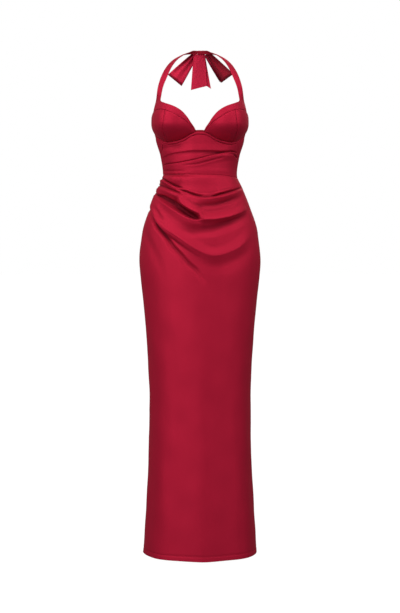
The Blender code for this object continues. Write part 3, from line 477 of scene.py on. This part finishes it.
DEEPEST_PAINTED_SHADE = 0.85           # how far painted shade takes the colour towards the deep one in the deepest folds
# Each satin: its own colour, then the darker one that painted shade in the folds takes it towards.
FACE = satin("crimson_satin", (0.450, 0.011, 0.038), (0.040, 0.001, 0.003), 0.40, 0.55, 0.10)
# The bow's face is the same satin painted lighter, for the light that falls on the bow.
RIBBON_FACE_PAINTED_LIGHTER = satin("ribbon_satin_painted_lighter", (0.600, 0.019, 0.058), (0.060, 0.001, 0.004), 0.40, 0.55,
                    0.10)
REVERSE = satin("satin_reverse", (0.270, 0.006, 0.018), (0.050, 0.001, 0.004), 0.05, 0.62, 0.05,
                0.16)
THREAD = satin("sewing_thread", (0.400, 0.010, 0.030), (0.200, 0.004, 0.014), 0.1, 0.50, 0.1)
ZIP_ENAMEL = enamel("zip_enamel", (0.300, 0.010, 0.024), 0.30)
SATINS = (FACE, REVERSE)
RIBBONS_PAINTED_LIGHTER = (RIBBON_FACE_PAINTED_LIGHTER, REVERSE)

# ---------------- making the pieces
SEAM_STRIPS = (0.0004, 0.0010, 0.0017, 0.0026, 0.0038, 0.0054)
SEAM_DEPTH = 0.0009
SEAM_WIDTH = 0.0019
PUCKER = 0.00015         # small waves of the cloth along a seam
PUCKER_LENGTH = 0.0085
SEAM_FADE = 0.012        # share of an edge in which a seam that stops short fades out
# Painted shade in creases, from how deep the cloth lies between its neighbours:
CREASE_REACHES = (2, 4, 7, 11)   # grid steps to the two sides of a crease
CREASE_LEAST_WIDTH = 0.004
CREASE_FROM, CREASE_SPAN = 0.04, 0.24    # depth over width at which the painted shade of a crease starts, and is full
made = {}


def shares(count, length):
    """Places from 0 to 1, with narrow strips along both ends and count steps between them."""
    near = [0.0] + [strip / length for strip in SEAM_STRIPS]
    far = [1 - share for share in reversed(near)]
    return np.concatenate([near, np.linspace(near[-1], far[0], count + 1)[1:-1], far])


def unit(vectors):
    return vectors / np.maximum(np.linalg.norm(vectors, axis=-1, keepdims=True), 1e-12)


def grid_normals(points):
    return unit(np.cross(np.gradient(points, axis=1), np.gradient(points, axis=0)))


def run_lengths(points, axis):
    """Length along the cloth from its first row or column."""
    steps = np.linalg.norm(np.diff(points, axis=axis), axis=-1)
    first = np.zeros_like(np.take(steps, [0], axis=axis))
    return np.cumsum(np.concatenate([first, steps], axis=axis), axis=axis)


def press_seams(points, seams, s, t):
    """Sinks the cloth along its sewn edges, with a slight pucker beside them.

    A seam is the name of an edge, or that name with the shares between which it is sewn.
    """
    normal = grid_normals(points)
    across, up = run_lengths(points, 1), run_lengths(points, 0)
    distance = {"left": across, "right": across[:, -1:] - across, "bottom": up,
                "top": up[-1:] - up}
    along = {"left": up, "right": up, "bottom": across, "top": across}
    share = {"left": t[:, None], "right": t[:, None], "bottom": s[None], "top": s[None]}
    sink = np.zeros(points.shape[:2])
    for seam in seams:
        edge, start, end = seam if isinstance(seam, tuple) else (seam, -1, 2)
        sewn = np.clip(np.minimum(share[edge] - start, end - share[edge]) / SEAM_FADE, 0, 1)
        near = np.exp(-(distance[edge] / SEAM_WIDTH) ** 2)
        beside = np.exp(-(distance[edge] / (4 * SEAM_WIDTH)) ** 2) - near
        wave = np.sin(along[edge] * 2 * math.pi / PUCKER_LENGTH
                      + 2.3 * np.sin(along[edge] * 2 * math.pi / (PUCKER_LENGTH * 4.7)))
        sink += (SEAM_DEPTH * near - PUCKER * wave * beside) * sewn
    return points - normal * sink[..., None]


def painted_crease_shade(points, normal):
    """Painted shade from 0 to 1: how deep each point lies in a fold for the width of that fold."""
    depth = np.zeros(points.shape[:2])
    for reach in CREASE_REACHES:
        for axis in (0, 1):
            at = np.arange(points.shape[axis])
            before = np.take(points, np.maximum(at - reach, 0), axis=axis)
            after = np.take(points, np.minimum(at + reach, at[-1]), axis=axis)
            sunk = (((before + after) / 2 - points) * normal).sum(-1)
            width = np.linalg.norm(after - before, axis=-1)
            ratio = sunk / (width + CREASE_LEAST_WIDTH)
            depth = np.maximum(depth, (ratio - CREASE_FROM) / CREASE_SPAN)
    return np.clip(depth, 0, 1)


def new_mesh(name, points, faces, *materials):
    mesh = bpy.data.meshes.new(name)
    mesh.from_pydata(points.reshape(-1, 3).tolist(), [], faces)
    mesh.shade_smooth()
    for material in materials:
        mesh.materials.append(material)
    return mesh


def mark_cloth(mesh, flat, depth):
    """Keeps each point's place on the flat cloth, in metres, and its painted shade in the folds."""
    corners = np.zeros(len(mesh.loops), np.int32)
    mesh.loops.foreach_get("vertex_index", corners)
    uv = flat.reshape(-1, 2)[corners].astype(np.float32)
    mesh.uv_layers.new(name="cloth").data.foreach_set("uv", uv.ravel())
    attribute = mesh.attributes.new("painted_fold_shade", "FLOAT", "POINT")
    attribute.data.foreach_set("value", depth.astype(np.float32).ravel())


def closed_mesh(name, points, wall, materials, shadow=0):
    """A grid of outer points as a closed wall of cloth.

    Shadow is painted shade from 0 to 1, as deep in a pocket of the cloth.
    """
    rows, columns = points.shape[:2]
    normal = grid_normals(points)
    count = rows * columns
    index = np.arange(count).reshape(rows, columns)
    outer = np.stack([index[:-1, :-1], index[:-1, 1:], index[1:, 1:], index[1:, :-1]], -1)
    outer = outer.reshape(-1, 4)
    rim = np.concatenate([index[0, :], index[1:, -1], index[-1, -2::-1], index[-2:0:-1, 0]])
    after = np.roll(rim, -1)
    sides = np.stack([after, rim, rim + count, after + count], -1)
    faces = np.concatenate([outer, outer[:, ::-1] + count, sides])
    mesh = new_mesh(name, np.stack([points, points - normal * wall]), faces.tolist(), *materials)
    across = run_lengths(points, 1)
    flat = np.stack([across - across[:, columns // 2, None], run_lengths(points, 0)], -1)
    # Painted shade: that of the creases or the given shadow, whichever is darker.
    depth = np.maximum(painted_crease_shade(points, normal), shadow)
    mark_cloth(mesh, np.stack([flat, flat]), np.stack([depth, depth]))
    slots = np.zeros(len(faces), np.int32)
    slots[len(outer):2 * len(outer)] = len(materials) - 1
    mesh.polygons.foreach_set("material_index", slots)
    mesh.update()
    return mesh


def ring_faces(rings):
    """The faces of a closed form over rings of points, each of which runs round it."""
    after = np.roll(rings, -1, axis=1)
    quads = np.stack([rings[:-1], after[:-1], after[1:], rings[1:]], -1).reshape(-1, 4)
    return quads.tolist() + [rings[0, ::-1].tolist(), rings[-1].tolist()]


def solid_mesh(name, points, material):
    """A closed form from rings of points."""
    faces = ring_faces(np.arange(points[..., 0].size).reshape(points.shape[:2]))
    mesh = new_mesh(name, points, faces, material)
    flat = np.stack([run_lengths(points, 1), run_lengths(points, 0)], -1)
    # Painted shade in its creases.
    mark_cloth(mesh, flat, painted_crease_shade(points, grid_normals(points)))
    return mesh


def add(name, mesh):
    piece = bpy.data.objects.new(name, mesh)
    bpy.context.scene.collection.objects.link(piece)
    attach(piece, BODY)
    return piece


def cloth(node, surface, s, t, seams, side=1, ease=(1.0, 1.0),
          materials=SATINS, wall=CLOTH, shadow=0):
    """A panel over surface(s, t) that stands for a node; it also works out the size the panel was
    cut to.

    The surface is on the +X side, and side -1 mirrors it. Ease is how much wider and longer the
    cut is than the worn panel.
    """
    points = press_seams(surface(*np.meshgrid(s, t)), seams, s, t)
    if side < 0:
        points = points[:, ::-1] * np.array([-1, 1, 1])
    made[node] = points
    piece = add(node + "_satin", closed_mesh(node, points, wall, materials, shadow))
    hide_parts(node)
    cells = np.cross(np.diff(points[:-1], axis=1), np.diff(points[:, :-1], axis=0))
    area = np.linalg.norm(cells, axis=-1).sum() * ease[0] * ease[1]
    flat = (max(run_lengths(points, 1)[:, -1].max() * ease[0], SMALLEST_CUT),
            max(run_lengths(points, 0)[-1].max() * ease[1], SMALLEST_CUT))
    area = min(max(area, LEAST_AREA * flat[0] * flat[1]), flat[0] * flat[1])


SMALLEST_CUT = 0.0101    # least width of a sheet's cut size
LEAST_AREA = 0.301       # and least share of its flat rectangle
ALLOWANCE_WALL = 0.0004
ALLOWANCE_IN, ALLOWANCE_OUT = -0.0045, 0.0050
ALLOWANCE_END = 0.003    # how far it runs on past the ends of its seam
ALLOWANCE_SHORT = 0.0015 # how far it stops short of a free edge


def from_edge(node, edge):
    """The points and normals of a panel already made, as rows that start at one of its edges."""
    points, normal = made[node], grid_normals(made[node])
    if edge in ("left", "right"):
        points, normal = points.transpose(1, 0, 2), normal.transpose(1, 0, 2)
    if edge in ("right", "top"):
        points, normal = points[::-1], normal[::-1]
    return points, normal


def allowance(node, edge, depth=0.0017, start=0.0, end=1.0, free=(False, False)):
    """The turned seam allowance behind one edge of a panel, which closes the seam from inside.

    Free says which of its two ends lie at a free edge of the cloth.
    """
    points, normal = from_edge(node, edge)
    count = points.shape[1]
    kept = slice(int(start * (count - 1)), int(end * (count - 1)) + 1)
    border, face = points[0, kept], normal[len(SEAM_STRIPS), kept]
    outward = unit(border - points[len(SEAM_STRIPS), kept])
    length = run_lengths(border[None], 1)[0]
    inside = ((length >= ALLOWANCE_SHORT * free[0])
              & (length[-1] - length >= ALLOWANCE_SHORT * free[1]))
    border, face, outward = border[inside], face[inside], outward[inside]
    ends = [border[:1] + unit(border[:1] - border[2:3]) * ALLOWANCE_END * (not free[0]),
            border[-1:] + unit(border[-1:] - border[-3:-2]) * ALLOWANCE_END * (not free[1])]
    border = np.concatenate([ends[0], border[1:-1], ends[1]])
    across = np.linspace(ALLOWANCE_IN, ALLOWANCE_OUT, 6)[:, None, None]
    strip = border[None] - face[None] * depth + outward[None] * across
    if (grid_normals(strip)[3] * face).sum() < 0:
        strip = strip[:, ::-1]
    return closed_mesh(node + "_" + edge, strip, ALLOWANCE_WALL, (REVERSE,))


def joined(name, meshes):
    """Several meshes of one material as one."""
    whole = bmesh.new()
    for mesh in meshes:
        whole.from_mesh(mesh)
    result = bpy.data.meshes.new(name)
    whole.to_mesh(result)
    whole.free()
    result.materials.append(meshes[0].materials[0])
    result.shade_smooth()
    return result


SIDES = (("left", -1), ("right", 1))


# ---------------- cups, halter and casing
CUP_CORNER = 0.56        # share of the outer panel's top that lies on the band seam


def inner_panel(s, t):
    foot = mix(5.9, CUP_SEAM_FOOT - degrees_for(GAP), s)
    top = mix(6.1, CUP_SEAM_TOP - degrees_for(GAP), s)
    low, high = read(WIRE, foot) + GAP, read(BAND_SEAM, top) - GAP
    return bust(top + (foot - top) * (1 - t) ** CUP_SEAM_BEND, mix(low, high, t))


def outer_panel(s, t):
    foot = mix(CUP_SEAM_FOOT + degrees_for(GAP), 96.4, s)
    on_band = s <= CUP_CORNER
    top = np.where(on_band, mix(CUP_SEAM_TOP + degrees_for(GAP), 60, s / CUP_CORNER),
                   mix(60, 96.6, (s - CUP_CORNER) / (1 - CUP_CORNER)))
    high = np.where(on_band, read(BAND_SEAM, top) - GAP, read(UNDERARM, top))
    low = read(WIRE, foot) + GAP
    return bust(top + (foot - top) * (1 - t) ** CUP_SEAM_BEND, mix(low, high, t))


BAND_SHARE = 0.50
CORNER_SHARE = 0.36
STRAP_INNER = (50.0, 1.3080)
STRAP_OUTER = (62.5, 1.3115)
BAND_END = (60.0, 1.2718)
CORNER_ANGLE = 42.0
STRAP_TURN = (47.6, 1.3002)       # where the lines of the neckline and of the strap's edge meet
STRAP_ROWS = tuple((i / (len(STRAP) - 1), *row) for i, row in enumerate(STRAP))
TURN_REACH = 0.055       # share of the halter's length in which that turn is soft
TURN_ROUNDS = 60         # rounds of smoothing there


def strap_middle(t):
    return from_hem(*(read(STRAP_ROWS, t, column) for column in (1, 2, 3)))


def strap(s, t):
    """The strap of the +X side, gathered lengthwise: t from 0 at the cup to 1 at the nape."""
    along = unit(strap_middle(np.minimum(t + 0.01, 1)) - strap_middle(np.maximum(t - 0.01, 0)))
    across = place(*(read(STRAP_ROWS, t, column) for column in (5, 6, 7)))
    across = unit(across - along * (across * along).sum(-1, keepdims=True))
    face = np.cross(across, along)
    gather = 0.0006 * np.sin(s * math.pi * 5 + 1.1 * np.sin(t * 7)) * np.sin(math.pi * s) * t
    crown = 0.0010 * np.sin(math.pi * s)
    width = read(STRAP_ROWS, t, 4)[..., None]
    return (strap_middle(t) + across * width * (s - 0.5)[..., None]
            + face * (gather + crown * np.minimum(t * 6, 1))[..., None])


def halter(s, t):
    """s runs from the inner edge to the outer one on the +X side, t from the V to the nape."""
    share = t / BAND_SHARE
    turn = CORNER_SHARE / BAND_SHARE
    low = np.clip(share / turn, 0, 1)
    inner_low = mix(4.9, CORNER_ANGLE, low ** 0.9)
    outer_low = mix(6.6, BAND_END[0], low ** 0.9)
    high = np.clip((share - turn) / (1 - turn), 0, 1)
    up = share >= turn
    start = (CORNER_ANGLE, float(read(NECKLINE, CORNER_ANGLE)))
    inner_up = [mix(mix(first, corner, high), mix(corner, last, high), high)
                for first, corner, last in zip(start, STRAP_TURN, STRAP_INNER)]
    inner = [np.where(up, inner_up[0], inner_low),
             np.where(up, inner_up[1], read(NECKLINE, inner_low))]
    outer = [np.where(up, mix(BAND_END[0], STRAP_OUTER[0], high), outer_low),
             np.where(up, mix(BAND_END[1], STRAP_OUTER[1], high),
                      read(BAND_SEAM, outer_low) + GAP)]
    on_cup = bust(mix(inner[0], outer[0], s), mix(inner[1], outer[1], s))
    above = strap(s, np.clip((t - BAND_SHARE) / (1 - BAND_SHARE), 0, 1))
    points = np.where((t <= BAND_SHARE)[..., None], on_cup, above)
    near = bump((t - BAND_SHARE) / TURN_REACH)[..., None]
    for _ in range(TURN_ROUNDS):
        points[1:-1] += near[1:-1] * 0.5 * ((points[2:] + points[:-2]) / 2 - points[1:-1])
    return points


def casing_edge(angle, width):
    """The place a width below the wire line and square to it: its angle and height."""
    run = math.radians(1) * FOLD_GIRTH
    tilt = np.arctan((read(WIRE, angle + 0.5) - read(WIRE, angle - 0.5)) / run)
    return angle + np.degrees(width * np.sin(tilt) / FOLD_GIRTH), \
        read(WIRE, angle) - width * np.cos(tilt)


CASING_END = 96.4
CASING_STEPS = 60
CASING_FOOT = tuple(tuple(float(value) for value in casing_edge(angle, CASING_WIDTH))
                    for angle in (CASING_END * i / CASING_STEPS for i in range(CASING_STEPS + 1)))


def casing(s, t):
    """The underwire channel, from one underarm over the bridge to the other."""
    angle = mix(-CASING_END, CASING_END, s)
    at, height = casing_edge(np.abs(angle), mix(CASING_WIDTH, HALF_GAP, t))
    crown = CASING_RISE + 0.0009 * np.sin(math.pi * t)
    return body(np.copysign(at, angle), height, crown)


def casing_foot(angle):
    return read(CASING_FOOT, np.abs(angle)) - GAP * 1.7


# ---------------- bodice and skirt
SEAM_ROUNDS = 12         # until a row meets the slanted seam between front and side


def midriff_front(s, t):
    """The ruched front between the side panels, from the waist seam to the casing."""
    reach = 70.0
    for _ in range(SEAM_ROUNDS):
        angle = mix(-reach, reach, s)
        height = mix(read(WAIST_SEAM, angle) + HALF_GAP, casing_foot(angle), t)
        reach = read(SIDE_FRONT, height) - degrees_for(HALF_GAP)
    return midriff(angle, height)


def bodice_side(s, t, side=1):
    """The smooth panel from the ruched front round to the back."""
    front = 72.0
    for _ in range(SEAM_ROUNDS):
        angle = mix(front + degrees_for(HALF_GAP), SIDE_BACK - degrees_for(HALF_GAP), s)
        low = read(WAIST_SEAM, side * angle) + HALF_GAP
        top = np.where(angle < CASING_FOOT[-1][0], casing_foot(angle), read(BACK_TOP, angle))
        height = mix(low, top, t)
        front = read(SIDE_FRONT, height)
    return body(angle, height, ripple(side * angle, height))


def bodice_back(s, t, side=1):
    angle = mix(SIDE_BACK + degrees_for(HALF_GAP), 180, s)
    height = mix(read(WAIST_SEAM, side * angle) + HALF_GAP, read(BACK_TOP, angle), t)
    points = body(angle, height, ripple(side * angle, height))
    points[..., 0] = np.maximum(points[..., 0], HALF_GAP)
    return points


# Where the rows of the skirt's front change from loose to close: angle and height.
DRAPE_LINE = ((-90, 0.940), (-62, 0.900), (-38, 0.850), (-12, 0.790), (10, 0.780), (36, 0.790),
              (62, 0.820), (90, 0.850))
BACK_DRAPE_LINE = 0.840
PLAIN_TOP = 0.30         # value of t up to which the skirt is plain, with fewer rows
HEM_ROWS = (0, 0.0004, 0.0012, 0.0050, 0.0100, 0.0125, 0.0135, HEM_DEPTH, 0.0146, 0.0156, 0.0175,
            0.022)


def skirt_rows(plain_length, plain, draped, drape_length):
    """Values of t: fine at the hem, loose in the plain skirt, close in the drape above it."""
    hem = np.array(HEM_ROWS) / plain_length * PLAIN_TOP
    loose = np.linspace(hem[-1], PLAIN_TOP, plain + 1)[1:-1]
    top = [1 - strip / drape_length * (1 - PLAIN_TOP) for strip in reversed((0.0,) + SEAM_STRIPS)]
    return np.concatenate([hem, loose, np.linspace(PLAIN_TOP, top[0], draped)[:-1], top])


def skirt_height(t, fold_line, top):
    low = np.clip(t / PLAIN_TOP, 0, 1)
    high = np.clip((t - PLAIN_TOP) / (1 - PLAIN_TOP), 0, 1)
    return fold_line * low + (top - fold_line) * high


def front_places(s, t):
    reach = 90 - degrees_for(HALF_GAP)
    angle = mix(-reach, reach, s)
    top = read(WAIST_SEAM, angle) - HALF_GAP
    return angle, skirt_height(t, read(DRAPE_LINE, angle), top)


def skirt_front(s, t):
    return skirt(*front_places(s, t))


# Painted shadow from 0 to 1, deep in the pocket and in the gap at the gathers.
def pocket_shadow(s, t):
    place = front_places(s, t)
    pocket = np.clip(-fold_rise((POCKET,), *place) / POCKET_FLOOR, 0, 1)
    gathers = np.clip(-fold_rise((GAP_AT_THE_GATHERS,), *place) / GATHERS_FLOOR, 0, 1)
    return np.maximum(pocket ** POCKET_SHADE, gathers)


def skirt_back(s, t, side=1):
    """A back panel between its side seam and the centre back, on the +X side (side 1) or not."""
    angle = mix(90 + degrees_for(HALF_GAP), 180, s)
    top = read(WAIST_SEAM, side * angle) - HALF_GAP
    height = skirt_height(t, BACK_DRAPE_LINE, top)
    points = skirt(side * angle, height) * np.array([side, 1, 1])
    points[..., 0] = np.maximum(points[..., 0], HALF_GAP)
    return points


# ---------------- bow
def bow_loop(loop, s, t):
    """A ribbon that runs out from the knot, folds over at the tip and comes back."""
    root, tip = Vector(loop.root), Vector(loop.tip)
    along = tip - root
    flat = Vector((-along.z, 0, along.x)).normalized()
    if flat.z < 0:
        flat = -flat
    lean = math.radians(loop.lean)
    across = (flat * math.cos(lean) + Vector((0, 1, 0)) * math.sin(lean)).normalized()
    behind = along.cross(across).normalized()
    if behind.y < 0:
        behind = -behind
    turn = t * 2 - 1
    out = 1 - np.abs(turn) ** 2.2
    layer = np.copysign(np.minimum(1, np.abs(turn) * 3.2), turn)
    depth = loop.tip_half_depth * mix(0.30, 1, out) * layer
    width = mix(loop.root_width, loop.tip_width, np.minimum(1, out ** 0.8))
    gathers = 0.0012 * np.cos(s * math.pi * 5) * (1 - out) ** 1.5
    rays = 0.0026 * np.sin(s * math.pi * 4.4 + 0.5) * np.clip(1.02 - out, 0, 1) ** 0.8 * layer
    belly = 0.0018 * np.sin(math.pi * s) * out * layer
    root, along, across, behind = (np.array(v) for v in (root, along, across, behind))
    return (root + along * out[..., None] + behind * (depth + gathers + rays + belly)[..., None]
            + across * (width * (s - 0.5))[..., None])


def loop_shadow(loop, s, t):
    """Darker at the knot, on the turn at the tip and, where the loop leans, along its edges."""
    out = 1 - np.abs(t * 2 - 1) ** 2.2
    root = 0.7 * np.clip(1 - out / 0.55, 0, 1) ** 1.3
    turn = 0.6 * np.clip((out - 0.90) / 0.04, 0, 1)
    edges = loop.lean / 40 * np.abs(s * 2 - 1) ** 1.6
    return np.maximum(np.maximum(root, turn), edges)


def bow_tail(tail, s, t):
    """A ribbon end that hangs from the knot and is cut on a slant."""
    left = [mix(tail.low_left[i], tail.top_left[i], t) for i in range(2)]
    right = [mix(tail.low_right[i], tail.top_right[i], t) for i in range(2)]
    curl = 0.0022 * np.sin(s * math.pi * 1.6) * mix(0.4, 1, t)
    gathers = 0.0005 * np.sin(s * math.pi * 5 + 0.4) * np.clip(t * 2.2 - 1.1, 0, 1) ** 1.5
    return place(mix(left[0], right[0], s), tail.depth - curl + gathers + 0.0030 * (1 - t),
                 mix(left[1], right[1], s))


def bow_knot(s, t):
    """The knot: ribbon wrapped round the bow's middle, s round it and t from side to side."""
    side = np.sin((t - 0.5) * math.pi * 0.98)
    turn = s * 2 * math.pi
    round_off = (1 - np.abs(side) ** 4) ** 0.25
    lobes = 1 - 0.08 * np.cos(3 * turn + 0.5)
    creases = 0.05 * np.cos(side * 7.5 + 0.9 * np.sin(turn + 0.4)) * (1 - side * side)
    size = round_off * (lobes - creases) * 0.90
    back = STRAP_WALL + GAP + KNOT_HALF[1]
    return place(KNOT_MIDDLE[0] + side * KNOT_HALF[0], back - np.sin(turn) * size * KNOT_HALF[1],
                 KNOT_MIDDLE[1] + np.cos(turn) * size * KNOT_HALF[2])


# ---------------- stitching
STITCH = 0.0024          # length of a stitch
STITCH_STEP = 0.0032     # from one stitch to the next
STITCH_HALF = 0.00022    # half its thickness
CASING_STITCH_INSET = 0.0011
STITCH_SIDES = 6
# Rings along a stitch: share of its length, size and lift off the cloth, in its half thickness.
STITCH_RINGS = ((0.0, 0.35, -0.5), (0.18, 0.95, 0.5), (0.5, 1.0, 0.8), (0.82, 0.95, 0.5),
                (1.0, 0.35, -0.5))


def stitch_line(name, node, edge, inset):
    """A row of stitches at a distance inside one edge of a panel, each sunk at its two ends."""
    points, normal = from_edge(node, edge)
    depth = run_lengths(points, 0)
    path, face = (np.array([[np.interp(inset, depth[:, column], grid[:, column, k])
                             for k in range(3)] for column in range(points.shape[1])])
                  for grid in (points, normal))
    length = run_lengths(path[None], 1)[0]

    def at(line, distance):
        return np.array([np.interp(distance, length, line[:, k]) for k in range(3)])

    vertices, faces = [], []
    for start in np.arange(STITCH_STEP / 2, length[-1] - STITCH, STITCH_STEP):
        base = len(vertices)
        first, last, up = at(path, start), at(path, start + STITCH), at(face, start)
        side = unit(np.cross(last - first, up))
        for share, size, lift in STITCH_RINGS:
            middle = mix(first, last, share) + up * lift * STITCH_HALF
            for turn in 2 * math.pi / STITCH_SIDES * np.arange(STITCH_SIDES):
                away = side * math.cos(turn) + up * math.sin(turn)
                vertices.append(middle + size * STITCH_HALF * away)
        faces += ring_faces(np.arange(base, len(vertices)).reshape(-1, STITCH_SIDES))
    add(name, new_mesh(name, np.array(vertices), faces, THREAD))


# ---------------- the dress
ALL_ROUND = ("left", "right", "top", "bottom")


def build_cups():
    for name, side in SIDES:
        cloth("cup_inner_" + name, inner_panel, shares(60, 0.14), shares(44, 0.07), ALL_ROUND,
              side, ease=(1.02, 1.02))
        cloth("cup_outer_" + name, outer_panel, shares(56, 0.14), shares(40, 0.07),
              ("left", "bottom", ("top", -1, CUP_CORNER)), side, ease=(1.02, 1.02))
        cloth("halter_" + name, halter, shares(16, 0.018), shares(200, 0.42),
              (("right", -1, CORNER_SHARE),), side, ease=(1.05, 1.02))
    cloth("underbust_casing", casing, shares(320, 0.5), np.linspace(0, 1, 9), ())


def build_bodice():
    for name, side in SIDES:
        cloth("bodice_side_" + name, partial(bodice_side, side=side), shares(44, 0.10),
              shares(70, 0.12), ("left", "right", "bottom", ("top", -1, CASING_TOP_SHARE)),
              side)
        cloth("bodice_back_" + name, partial(bodice_back, side=side), shares(50, 0.12),
              shares(64, 0.10), ("left", "right", "bottom"), side)
    cloth("midriff_front", midriff_front, shares(150, 0.24), shares(96, 0.10), ALL_ROUND,
          ease=(1.06, 1.25))


def build_skirt():
    sewn = ("left", "right", "top")
    s, t = shares(138, 0.50), skirt_rows(0.83, 66, 190, 0.27)
    cloth("skirt_front", skirt_front, s, t, sewn, ease=(1.04, 1.06),
          shadow=pocket_shadow(*np.meshgrid(s, t)))
    for name, side in SIDES:
        cloth("skirt_back_" + name, partial(skirt_back, side=side), shares(70, 0.26),
              skirt_rows(0.84, 60, 100, 0.25), sewn, side, ease=(1.02, 1.02))


def build_bow():
    knot = bow_knot(*np.meshgrid(np.arange(64) / 64, np.linspace(0, 1, 49)))
    piece = add("bow_knot_satin", solid_mesh("bow_knot", knot, RIBBON_FACE_PAINTED_LIGHTER))
    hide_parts("bow_knot")
    across, along = shares(22, 0.03), np.linspace(0, 1, 97)
    for loop in LOOPS:
        cloth("bow_loop_" + loop.side, partial(bow_loop, loop), across, along, (),
              ease=(1.3, 1.0), materials=RIBBONS_PAINTED_LIGHTER, wall=RIBBON,
              shadow=loop_shadow(loop, *np.meshgrid(across, along)))
    for tail in TAILS:
        cloth("bow_tail_" + tail.name, partial(bow_tail, tail), shares(24, 0.03), shares(40, 0.10),
              (), materials=RIBBONS_PAINTED_LIGHTER,
              wall=RIBBON)


CASING_TOP_SHARE = 0.60  # share of a side panel's top that the casing covers
CASING_DEPTH = 0.0036    # of the allowance behind the casing, which has to clear the cups too
BACK_SEAM_END = 0.97     # where the allowances of the back's seams stop below its top edge


def build_inside():
    """Seam allowances behind the seams."""
    hem_end, top_end = (True, False), (False, True)
    strips = [allowance("underbust_casing", "top", CASING_DEPTH, free=(True, True))]
    strips += [allowance("midriff_front", edge) for edge in ("top", "left", "right", "bottom")]
    strips += [allowance("skirt_front", edge, free=hem_end) for edge in ("left", "right")]
    strips += [allowance("skirt_back_right", "right", free=hem_end),
               allowance("bodice_back_right", "right", end=BACK_SEAM_END, free=top_end)]
    for name, side in SIDES:
        far = "right" if side > 0 else "left"
        bodice, cup = [(0, share) if side > 0 else (1 - share, 1)
                       for share in (CASING_TOP_SHARE, CUP_CORNER)]
        strips += [
            allowance("bodice_side_" + name, "top", start=bodice[0], end=bodice[1],
                      free=top_end[::side]),
            allowance("bodice_side_" + name, "bottom"),
            allowance("bodice_side_" + name, far, end=BACK_SEAM_END, free=top_end),
            allowance("bodice_back_" + name, "bottom"),
            allowance("cup_inner_" + name, "top"), allowance("cup_inner_" + name, far),
            allowance("cup_outer_" + name, "top", start=cup[0], end=cup[1])]
    add("seam_allowances", joined("seam_allowances", strips))


def build_stitching():
    for name in ("skirt_front", "skirt_back_left", "skirt_back_right"):
        stitch_line(name + "_hem_stitches", name, "bottom", HEM_DEPTH)
    for name, edge in (("upper", "top"), ("lower", "bottom")):
        stitch_line(f"casing_{name}_stitches", "underbust_casing", edge, CASING_STITCH_INSET)


build_cups()
build_bodice()
build_skirt()
build_bow()
build_inside()
build_stitching()
for node in ("zip_slider", "zip_pull"):
    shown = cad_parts[node].data.materials
    shown.clear()
    shown.append(ZIP_ENAMEL)

# ---------------- studio and camera
scene = bpy.context.scene
FLOOR_GAP = 0.030        # the hem hangs clear of the floor
FLOOR_RADIUS = 30
FLOOR_CORNERS = 64
CAMERA_HEIGHT = 0.91     # over the hem
CAMERA_AWAY = 3.53       # from the body's middle
CAMERA_TILT = 3.0977     # degrees downwards


def build_studio():
    paint = bpy.data.materials.new("pale_floor")
    fill(shader_kit(paint)[2], Base_Color=(0.04, 0.04, 0.04, 1), Roughness=1.0,
         Emission_Color=(1, 1, 1, 1), Emission_Strength=1.0)
    turns = np.linspace(0, 2 * math.pi, FLOOR_CORNERS + 1)[:-1]
    around = place(FLOOR_RADIUS * np.cos(turns), FLOOR_RADIUS * np.sin(turns), 0)
    mesh = new_mesh("studio_floor", around, [list(range(FLOOR_CORNERS))], paint)
    floor = bpy.data.objects.new("studio_floor", mesh)
    floor.location = (0, 0, -NAPE_HEIGHT - FLOOR_GAP)
    floor.visible_diffuse = False
    floor.visible_glossy = False
    scene.collection.objects.link(floor)

    # The camera sees plain white, and the dress is lit by a grey that is brighter above it.
    scene.world = bpy.data.worlds.new("studio")
    node, link, _ = shader_kit(scene.world)
    split = node("SeparateXYZ")
    link(node("TexCoord").outputs["Generated"], split.inputs[0])
    lift = node("MapRange", From_Min=-1)
    link(split.outputs["Z"], lift.inputs["Value"])
    ramp = node("ValToRGB")
    set_ramp(ramp, (0.30, (0.10, 0.10, 0.10)), (0.85, (0.45, 0.45, 0.45)))
    link(lift.outputs[0], ramp.inputs[0])
    choose = node("Mix")
    choose.data_type = "RGBA"
    choose.inputs[7].default_value = (1, 1, 1, 1)
    link(node("LightPath").outputs["Is Camera Ray"], choose.inputs[0])
    link(ramp.outputs[0], choose.inputs[6])
    link(choose.outputs[2], scene.world.node_tree.nodes["Background"].inputs["Color"])


def softbox(name, where, width, height, power, target=(0, -0.06, -0.65)):
    light = bpy.data.lights.new(name, "AREA")
    light.shape = "RECTANGLE"
    light.size, light.size_y, light.energy = width, height, power
    lamp = bpy.data.objects.new(name, light)
    lamp.location = where
    lamp.rotation_euler = (Vector(target) - Vector(where)).to_track_quat("-Z", "Y").to_euler()
    scene.collection.objects.link(lamp)


def build_lights():
    softbox("key", (-1.9, -3.1, 0.0), 2.0, 2.4, 54)
    softbox("top", (0.0, -1.7, 2.1), 3.2, 0.8, 31)
    softbox("fill", (2.4, -2.8, -0.3), 1.2, 2.4, 20)
    softbox("back", (0.6, 2.6, 1.0), 1.6, 1.8, 18)
    softbox("left rim", (-1.25, -0.7, 0.35), 0.5, 0.9, 3.4, (0, -0.06, -0.25))
    softbox("right rim", (1.25, -0.7, 0.35), 0.5, 0.9, 3.6, (0, -0.06, -0.25))


def build_camera():
    camera = bpy.data.cameras.new("camera")
    camera.lens = 71.6
    camera.sensor_width = 36
    camera.sensor_fit = "AUTO"
    view = bpy.data.objects.new("camera", camera)
    view.location = (0, -NAPE_BACK - CAMERA_AWAY, CAMERA_HEIGHT - NAPE_HEIGHT)
    view.rotation_euler = (math.pi / 2 - math.radians(CAMERA_TILT), 0, 0)
    scene.collection.objects.link(view)
    scene.camera = view


build_camera()
build_studio()
build_lights()
scene.view_settings.view_transform = "Standard"
